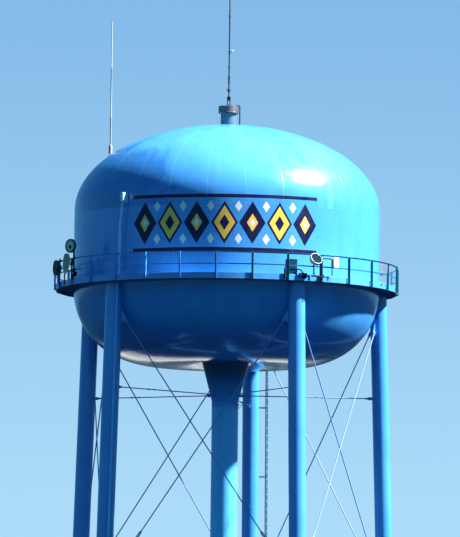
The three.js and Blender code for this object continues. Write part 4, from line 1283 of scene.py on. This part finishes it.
def make_blade():
    """A flat tapering aerial with its back plate, and its brackets."""
    blade = [(-0.094, -0.390), (0.040, -0.390), (0.094, -0.215), (0.180, 0.134), (0.094, 0.417),
             (-0.094, 0.403), (-0.150, 0.107), (-0.175, -0.215)]
    kit = Kit(spin(BLADE_TURN) @ at(0.170, -(POLE_AXIS_R + 0.040), 25.510) @ spin(40))
    kit.plate(rounded(blade, 0.05), 0.080, lift=-0.015)
    kit.plate(rounded([(x * 0.86, z * 0.93) for x, z in blade], 0.04), 0.110)
    for z in (-0.30, 0.0, 0.32):
        for x in (-0.06, 0.04):
            kit.nut((x, -0.055, z), (0, -1, 0), 0.020, 0.004)
    piece("left_blade_body", kit, slate_plastic, ["left_grey_aerial"], 0.008)
    kit = Kit(spin(BLADE_TURN))
    clamps(kit, 0.060, POLE_AXIS_R + 0.02)
    kit.rod((0.060, -POLE_AXIS_R - 0.02, 25.08), (0.060, -POLE_AXIS_R - 0.02, 25.86), 0.026, 20)
    for z in (25.20, 25.72):
        kit.box((0.09, 0.055, 0.05), (0.085, -POLE_AXIS_R - 0.045, z))
    for x, low, high in ((-0.148, 24.62, 25.14), (-0.874, 24.60, 25.06)):
        y = -POLE_AXIS_R + x * x * 0.068
        kit.rod((x, y, low), (x, y, high), 0.028, 16)
    piece("left_blade_bracket", kit, frame_paint, (), 0.0012)


def make_shallow_dish():
    """A round aerial with a dark face, on its own short pole."""
    place = spin(SHALLOW_TURN) @ aim(0, 0, 25.384)
    kit = Kit(place)
    kit.turn([(0, -0.052), (0.100, -0.056), (0.110, -0.050), (0.190, 0.004), (0.262, 0.052),
              (0.300, 0.078), (0.322, 0.086), (0.325, 0.094), (0.325, 0.214), (0.320, 0.225),
              (0.310, 0.225), (0.305, 0.208), (0, 0.208)], 72)
    kit.band(0.322, 0.178, 0.200, 0.003, 72)
    for x, y in circle(1.0, 12):
        kit.nut((0.285 * x, 0.285 * y, 0.072), (0.4 * x, 0.4 * y, -1), 0.020, 0.008)
    piece("left_dish_body", kit, dark_metal, ["left_dark_aerial"], 0.0012)
    kit = Kit(place)
    kit.turn([(0, 0.2083), (0.304, 0.2083), (0.304, 0.211), (0.20, 0.2175), (0.10, 0.2205),
              (0, 0.2215)], 72)
    piece("left_dish_face", kit, dark_plastic)
    kit = Kit(spin(SHALLOW_TURN))
    pole(kit, LOWER_CLAMP - 0.110, UPPER_CLAMP + 0.085)
    clamps(kit)
    piece("left_dish_pole", kit, frame_paint, (), 0.0012)


def make_rail_boxes():
    """Small boxes and conduits round the left-hand pole."""
    out = RAIL_FLAT_R + 0.05
    kit = Kit(spin(-51.6))
    for box in ((-0.10, 25.18, 0.22, 0.16), (0.10, 25.02, 0.14, 0.20), (-0.16, 24.93, 0.16, 0.18)):
        kit.plate(rounded(rectangle(*box), 0.02), 0.09, lift=-out)
    kit.sweep([(-0.10, -out, 25.24), (-0.12, -out - 0.01, 25.36), (-0.05, -out - 0.02, 25.46),
               (-0.01, -out - 0.02, 25.56)], 0.011, 10)
    kit.place = spin(LEFT_POLE_TURN)
    kit.plate([(0.02, 25.40), (0.02, 25.74), (-0.10, 25.70), (-0.30, 25.52), (-0.36, 25.40)], 0.030,
              lift=-POLE_AXIS_R + 0.01)
    for x in (-0.046, 0.046):
        kit.rod((x, -POLE_AXIS_R, POLE_FOOT + 0.02), (x, -POLE_AXIS_R, 25.98), 0.016, 12)
    piece("left_rail_boxes", kit, frame_paint, (), 0.004)


def make_right_dish():
    """A dish in a white shroud with a bright rim and a dark face, on a pole."""
    kit = Kit(spin(DISH_TURN))
    pole(kit, POLE_FOOT, 25.42)
    clamps(kit)
    kit.rod((0, -POLE_AXIS_R, 24.96), (0.10, -POLE_AXIS_R - 0.02, 24.80), 0.014, 12)
    piece("right_dish_pole", kit, frame_paint, (), 0.0012)
    r, sides = 0.258, 72
    place = spin(DISH_TURN) @ aim(2, 30, 25.400)
    kit = Kit(place)
    kit.turn([(0, 0.036), (0.180, 0.036), (0.222, 0.044), (0.246, 0.060), (r, 0.085), (r, 0.240),
              (r - 0.012, 0.240), (r - 0.016, 0.205), (r * 0.6, 0.165), (r * 0.25, 0.146),
              (0, 0.142)], sides)
    kit.turn([(0, 0.0), (0.052, 0.0), (0.052, 0.030), (0.075, 0.037), (0, 0.037)], 28)
    piece("right_dish_shroud", kit, white_plastic, ["right_dish_aerial"])
    kit = Kit(place)
    kit.ring([(r - 0.013, 0.236), (r + 0.001, 0.236), (r + 0.001, 0.252), (r - 0.003, 0.255),
              (r - 0.010, 0.255), (r - 0.013, 0.252)], sides)
    piece("right_dish_rim", kit, white_plastic)
    kit = Kit(place)
    kit.turn([(0, 0.2055), (r - 0.0165, 0.2455), (r - 0.0165, 0.2475), (r * 0.72, 0.2275),
              (r * 0.42, 0.2135), (0, 0.2075)], sides)
    kit.turn([(0, 0.206), (0.030, 0.206), (0.026, 0.222), (0.014, 0.228), (0, 0.229)], 28)
    piece("right_dish_face", kit, dish_plastic)


def make_pipe_frame():
    """Frame of bent pipe beside the dish, with its arm and cross bar."""
    left, right, pipe_r, bend_r, tight_r = -0.365, 0.141, 0.025, 0.085, 0.05
    level, arm_z, y = 25.585 - pipe_r, 24.800, -POLE_AXIS_R
    outline = [(left, DECK - 0.02)]
    outline += arc(left + bend_r, level - bend_r, bend_r, bend_r, 180, 90, 8)
    outline += arc(right - tight_r, level - tight_r, tight_r, tight_r, 90, 0, 8)
    kit = Kit(spin(FRAME_TURN))
    kit.sweep([(x, y, z) for x, z in outline + [(right, POLE_FOOT)]], pipe_r, 18)
    kit.ring([(pipe_r - 0.002, 25.20), (0.036, 25.205), (0.036, 25.535), (pipe_r - 0.002, 25.54)],
             28, at(right, y, 0))
    kit.rod((right, y, LOWER_CLAMP), (left + 0.16, y, LOWER_CLAMP + 0.012), 0.018, 14)
    kit.box((0.62, 0.044, 0.058), (left - 0.255, y - 0.028, arm_z))
    kit.box((0.62, 0.010, 0.075), (left - 0.255, y - 0.004, arm_z))
    kit.rod((left, y - 0.03, arm_z + 0.012), (-0.045, y - 0.03, arm_z - 0.025), 0.027, 16)
    kit.plate(rounded(rectangle(left, arm_z + 0.015, 0.13, 0.14), 0.015), 0.085, lift=y - 0.005)
    for x in (left - 0.52, left - 0.20, -0.06):
        kit.nut((x, y - 0.05, arm_z), (0, -1, 0), 0.030, 0.012)
    for x in (-0.20, 0.10):
        clamps(kit, x, levels=(LOWER_CLAMP,))
    piece("right_pipe_frame", kit, frame_paint, ["right_aerial_frame"], 0.0015)


def make_white_panel():
    kit = Kit(spin(FRAME_TURN))
    kit.plate(rounded(rectangle(0.336, 25.430, 0.260, 0.440), 0.05), 0.060, lift=-POLE_AXIS_R)
    piece("right_white_panel", kit, white_plastic, ["right_white_aerial"], 0.014)
    kit = Kit(spin(FRAME_TURN))
    clamps(kit, 0.300, POLE_AXIS_R - 0.035, (LOWER_CLAMP,), 0.010)
    for z in (25.32, 25.50):
        kit.box((0.15, 0.02, 0.035), (0.21, -POLE_AXIS_R + 0.040, z))
    piece("right_white_panel_bracket", kit, grey_metal, (), 0.0012)


def make_rail_box():
    """Small rail bracket with a box, next to the cabinet."""
    bar_z, y = 24.885, -RAIL_FLAT_R
    kit = Kit(spin(35.4))
    kit.box((0.37, 0.05, 0.055), (0, y - 0.030, bar_z))
    kit.plate(rounded(rectangle(0.05, 24.785, 0.20, 0.17), 0.02), 0.10, lift=y - 0.055)
    kit.rod((-0.16, y - 0.030, 24.87), (-0.19, y - 0.045, 24.70), 0.020, 14)
    kit.box((0.07, 0.04, 0.05), (0.02, y - 0.015, LOWER_CLAMP - 0.004))
    for x in (-0.13, 0.13):
        kit.nut((x, y - 0.055, bar_z), (0, -1, 0), 0.024, 0.010)
    piece("right_rail_box", kit, frame_paint, (), 0.003)


def make_grid():
    """Grid antenna: a frame of flat bars with a fine wire mesh."""
    mid, half, low, high, bar, wire = -0.27, 0.425, 25.300, 25.590, 0.012, 0.003
    across, up, post_x, y = 24, 8, -0.08, -POLE_AXIS_R
    kit = Kit(spin(75))
    for z in (low, high):
        kit.box((2 * half, bar, bar), (mid, y, z))
    for x in (-half + bar / 2, 0.0, half - bar / 2):
        kit.box((bar, bar, high - low), (mid + x, y, (low + high) / 2))
    for k in range(1, across):
        x = mid - half + 2 * half * k / across
        kit.rod((x, y, low), (x, y, high), wire, 6)
    for k in range(1, up):
        z = low + (high - low) * k / up
        kit.rod((mid - half, y + 0.004, z), (mid + half, y + 0.004, z), wire, 6)
    kit.box((0.038, 0.038, 0.42), (post_x, y, 25.40))
    clamps(kit, post_x, levels=(LOWER_CLAMP,))
    kit.plate(rounded([(-0.27, 24.79), (-0.14, 24.79), (-0.14, 24.86), (-0.20, 24.87)], 0.01), 0.06,
              lift=-RAIL_FLAT_R - 0.035)
    piece("right_grid_antenna", kit, grey_metal, ["right_panel_aerial"], 0.001)


def make_cabinet():
    """Equipment cabinet on the walkway, with a bolted cover, louvres and a conduit."""
    wide, deep, tall, lid = 0.450, 0.260, 0.740, 0.018
    low, y = FLOOR_Z + GAP, -BALCONY_R + 0.220
    front = y - deep / 2
    body_tall = tall - 0.055
    kit = Kit(spin(32))
    kit.box((wide - 0.016, deep - 0.020, body_tall), (0, y + 0.004, low + 0.040 + body_tall / 2))
    kit.box((wide, deep, lid), (0, y, low + tall - lid / 2))
    kit.box((wide - 0.060, 0.010, tall - 0.150), (0, front + 0.005, low + tall / 2 + 0.01))
    for side in (-1, 1):
        kit.box((0.05, deep - 0.04, 0.042), (side * (wide / 2 - 0.05), y, low + 0.021))
        x = side * (wide / 2 - 0.045)
        for k in range(4):
            kit.nut((x, front, low + 0.13 + 0.17 * k), (0, -1, 0), 0.018, 0.006)
    for k in range(7):
        kit.box((0.20, 0.012, 0.004), (0, 0, 0), at(0, front, low + 0.17 + 0.028 * k) @ lean(0.5))
    piece("cabinet_body", kit, cabinet_paint, ["equipment_cabinet"], 0.004)
    kit = Kit(spin(32) @ at(0, y, low))
    kit.sweep([(0.19, -0.06, 0.30), (0.26, -0.08, 0.325), (0.34, -0.10, 0.315), (0.42, -0.115, 0.27),
               (0.48, -0.125, 0.19), (0.51, -0.13, 0.12)], 0.026, 16)
    kit.rod((0.178, -0.06, 0.30), (0.205, -0.064, 0.302), 0.040, 20, 0.034)
    piece("cabinet_conduit", kit, frame_paint)


def make_post_conduit():
    r, joint_z = 0.045, 25.02
    kit = Kit(spin(28.9) @ at(0, -BALCONY_R - 0.055, 0))
    kit.rod((0, 0, DECK + 0.02), (0, 0, joint_z), r, 24)
    kit.rod((0, 0, joint_z), (0.012, 0, joint_z + 0.12), r, 24, 0.022)
    for z in (24.70, 24.95):
        kit.band(r, z - 0.014, z + 0.014, 0.005, 28)
        kit.box((0.12, 0.010, 0.030), (0.03, 0.040, z))
    piece("post_conduit", kit, frame_paint, (), 0.001)


def make_lamp():
    """Lamp on a thin arm at the riser."""
    place = spin(99.4) @ at(0, 0, 19.85)
    lamp = at(0, -1.0, 0)
    kit = Kit(place)
    kit.rod((0, -RISER_R, 0), (0, -0.985, 0), 0.014, 14)
    kit.rod((0, -RISER_R - 0.002, -0.16), (0, -0.80, -0.005), 0.009, 12)
    kit.box((0.09, 0.012, 0.26), (0, -RISER_R - 0.004, -0.06))
    kit.turn([(0, -0.085), (0.030, -0.085), (0.034, -0.05), (0.020, -0.035), (0, -0.035)], 24, lamp)
    piece("riser_lamp_arm", kit, grey_metal, (), 0.001)
    kit = Kit(place)
    globe = arc(0, 0.012, 0.062, 0.062, -60, 90, 14)[:-1]
    kit.turn([(0, -0.045), (0.031, -0.045)] + globe + [(0, 0.074)], 32, lamp)
    piece("riser_lamp_globe", kit, white_plastic)


# Painted band on the shell: lozenges between two bars, thin solids that follow the plate
def skin_point(angle, z, lift):
    r, out, rise = TANK_R, 1.0, 0.0
    if z > ROOF_SPRING:
        r = TANK_R * math.sqrt(1 - ((z - ROOF_SPRING) / ROOF_RISE) ** 2)
        out, rise = Vector((r / TANK_R ** 2, (z - ROOF_SPRING) / ROOF_RISE ** 2)).normalized()
    a = math.radians(angle)
    r += lift * out
    return (r * math.sin(a), -r * math.cos(a), z + lift * rise)


def decal(kit, columns, lift, rows=8):
    """A thin patch given as (angle, low height, high height) columns."""
    points, faces = [], []
    count = len(columns)
    for height in (lift, 0.0002):
        for angle, low, high in columns:
            points += [skin_point(angle, low + (high - low) * j / rows, height)
                       for j in range(rows + 1)]
    deep = count * (rows + 1)

    def index(i, j):
        return i * (rows + 1) + j

    for i in range(count - 1):
        for j in range(rows):
            quad = [index(i, j), index(i + 1, j), index(i + 1, j + 1), index(i, j + 1)]
            faces += [quad, [deep + k for k in quad[::-1]]]
        for j, order in ((0, 1), (rows, -1)):
            a, b = index(i, j), index(i + 1, j)
            faces.append([a, deep + a, deep + b, b][::order])
    for i, order in ((0, 1), (count - 1, -1)):
        for j in range(rows):
            a, b = index(i, j), index(i, j + 1)
            faces.append([a, b, deep + b, deep + a][::order])
    kit.add(points, faces)


def lozenge(kit, angle, half_angle, z, half_height, lift):
    columns = []
    for i in range(13):
        t = -1 + 2 * i / 12
        reach = half_height * (1 - abs(t)) + 0.006
        columns.append((angle + half_angle * t, z - reach, z + reach))
    decal(kit, columns, lift)


def bar(kit, start, stop, low, high, lift):
    steps = int((stop - start) / 1.5)
    decal(kit, [(start + (stop - start) * i / steps, low, high) for i in range(steps + 1)], lift, 2)


def make_painted_band():
    start, cells, cell, z, half = -27.4, 7, 72.0 / 7, 27.00, 0.88
    base, over, top = 0.0015, 0.0030, 0.0045
    navy, yellow, white = Kit(), Kit(), Kit()
    for low, high in ((-1.20, -1.04), (1.04, 1.18)):
        bar(navy, start, start + cells * cell, z + low, z + high, base)
    for k in range(cells):
        angle = start + cell * (k + 0.5)
        lozenge(navy, angle, cell * 0.47, z, half, base)
        if k % 2:
            lozenge(yellow, angle, cell * 0.38, z, half * 0.80, over)
            lozenge(navy, angle, cell * 0.17, z, half * 0.36, top)
        else:
            lozenge(yellow, angle, cell * 0.20, z, half * 0.42, over)
            lozenge(white, angle, cell * 0.09, z, half * 0.19, top)
    for k in range(1, cells):
        for side in (-1, 1):
            lozenge(white, start + cell * k, 1.35, z + side * 0.68, 0.22, base)
    for name, kit, paint in (("navy", navy, navy_paint), ("yellow", yellow, yellow_paint),
                             ("white", white, white_paint)):
        piece("painted_band_" + name, kit, paint)


make_roof()
make_course("upper", COURSE_SEAM + GAP, ROOF_SEAM, UPPER_SEAM_START)
make_course("lower", KNUCKLE_Z + GAP, COURSE_SEAM, LOWER_SEAM_START)
make_bottom()
make_riser_flare()
make_riser_tube()
coped_tube = leg_tube()
for i, name in enumerate(LEG_NAMES):
    make_leg(name, HALF_STEP + LEG_STEP * i, coped_tube)
for i, name in enumerate(BAY_NAMES):
    make_bay(name, bay_frame(LEG_STEP * (i + 1)))
for i, name in enumerate(LEG_NAMES):
    make_stay(name, spin(HALF_STEP + LEG_STEP * i))
for make in (make_deck, make_railing, make_ladder, make_overflow_on_shell, make_overflow_on_leg,
             make_vent, make_vent_lid, make_mast, make_mast_conduit, make_whip, make_left_pole,
             make_drum, make_blade, make_shallow_dish, make_rail_boxes, make_right_dish,
             make_pipe_frame, make_white_panel, make_rail_box, make_grid, make_cabinet,
             make_post_conduit, make_lamp, make_painted_band):
    make()


# Camera, sun, sky and floor
def place_camera():
    """The photograph's view: far off, looking up a little, with its focal length in pixels."""
    focal_px, frame_px, sensor = 6451.4, 537, 36.0
    distance, eye_z = 273.0, DECK - 3.627 * TANK_R
    yaw, pitch, roll = (math.radians(v) for v in (0.029, 5.155, -0.71))
    data = bpy.data.cameras.new("photo_camera")
    data.sensor_width = sensor
    data.lens = focal_px / frame_px * sensor
    data.clip_start = 1.0
    data.clip_end = 2000.0
    ahead = Vector((math.sin(yaw), math.cos(yaw), 0)) * math.cos(pitch)
    ahead.z = math.sin(pitch)
    level_right = Vector((math.cos(yaw), -math.sin(yaw), 0))
    level_up = level_right.cross(ahead)
    right = level_right * math.cos(roll) - level_up * math.sin(roll)
    up = level_right * math.sin(roll) + level_up * math.cos(roll)
    matrix = Matrix((right, up, -ahead)).transposed().to_4x4()
    matrix.translation = Vector((0, -distance, eye_z))
    camera = place_in_scene("photo_camera", data)
    camera.matrix_world = spin(VIEW_TURN) @ matrix
    bpy.context.scene.camera = camera


def place_sun():
    data = bpy.data.lights.new("key", "SUN")
    data.energy = 18.0
    data.angle = math.radians(2.4)
    data.color = (1.0, 0.97, 0.93)
    sun = place_in_scene("key", data)
    towards_sun = spin(VIEW_TURN).to_3x3() @ Vector((0.691, -0.073, 0.719))
    sun.rotation_mode = "QUATERNION"
    sun.rotation_quaternion = towards_sun.to_track_quat("Z", "Y")


AROUND = [(-1.0, (0.015, 0.06, 0.10)), (-0.35, (0.02, 0.08, 0.13)), (-0.12, (0.03, 0.10, 0.15)),
          (-0.03, (0.04, 0.11, 0.15)), (0.02, (0.16, 0.40, 0.60)), (0.10, (0.09, 0.36, 0.64)),
          (0.35, (0.04, 0.25, 0.50)), (1.0, (0.03, 0.16, 0.37))]
PALE_GROUND = [(-0.46, (0.0, 0.0, 0.0)), (-0.38, (0.80, 0.80, 0.76)), (-0.24, (0.96, 0.97, 0.92)),
               (-0.17, (0.0, 0.0, 0.0))]
BACKDROP = [(-1.0, (0.42, 0.72, 0.95)), (0.05, (0.42, 0.72, 0.95)), (0.13, (0.23, 0.49, 0.81)),
            (1.0, (0.15, 0.36, 0.70))]


def by_height(sky, direction, stops):
    """A colour that depends on how far up a direction points: (upward part, colour) pairs."""
    ramp = sky.new("ValToRGB", {0: sky.math("MULTIPLY_ADD", sky.split(direction)[2], 0.5, 0.5)})
    elements = ramp.color_ramp.elements
    while len(elements) < len(stops):
        elements.new(0.5)
    for element, (height, tint) in zip(elements, stops):
        element.position = 0.5 + 0.5 * height
        element.color = (*tint, 1.0)
    return ramp.outputs[0]


def make_sky():
    """Light from sky and ground, with sunlit ground behind the tower for the tank's reflections,
    and a plain sky for the camera."""
    world = bpy.data.worlds.new("studio")
    bpy.context.scene.world = world
    world.use_nodes = True
    sky = Nodes(world.node_tree)
    direction = sky.new("TexCoord", {}).outputs["Generated"]
    level = sky.vector_math("MULTIPLY", {0: direction, 1: (1.0, 1.0, 0.0)}).outputs[0]
    heading = sky.vector_math("NORMALIZE", {0: level}).outputs[0]
    behind = spin(VIEW_TURN + 5).to_3x3() @ Vector((0, 1, 0))
    facing = sky.vector_math("DOT_PRODUCT", {0: heading, 1: behind}).outputs["Value"]
    share = sky.remap(facing, 0.976, 0.993, 0.0, 1.9, "LINEAR")
    pale = by_height(sky, direction, PALE_GROUND)
    glow = sky.vector_math("SCALE", {0: pale, "Scale": share}).outputs[0]
    around = by_height(sky, direction, AROUND)
    light = sky.tree.nodes["Background"]
    sky.put(light.inputs["Color"], sky.vector_math("ADD", {0: around, 1: glow}).outputs[0])
    backdrop = sky.new("Background", {"Color": by_height(sky, direction, BACKDROP)})
    seen = sky.new("LightPath", {}).outputs["Is Camera Ray"]
    choose = sky.new("MixShader", {0: seen, 1: light.outputs[0], 2: backdrop.outputs[0]})
    sky.put(sky.tree.nodes["World Output"].inputs["Surface"], choose.outputs[0])


def make_floor():
    kit = Kit()
    kit.turn([(r, 0) for r in (8000, 600, 100, 20, 0)], 64)
    mesh = kit.mesh("studio_floor")
    floor = place_in_scene("studio_floor", mesh)
    s = Shader("pale_floor")
    tone = s.mix(s.noise(0.15, 4.0), rgb(0.135, 0.137, 0.14), rgb(0.155, 0.157, 0.16))
    mesh.materials.append(s.finish(tone, 0.9, specular=0.0))
    floor.location.z = -0.002
    floor.visible_diffuse = False
    floor.visible_glossy = False


place_camera()
place_sun()
make_sky()
make_floor()
bpy.context.scene.view_settings.view_transform = "Standard"
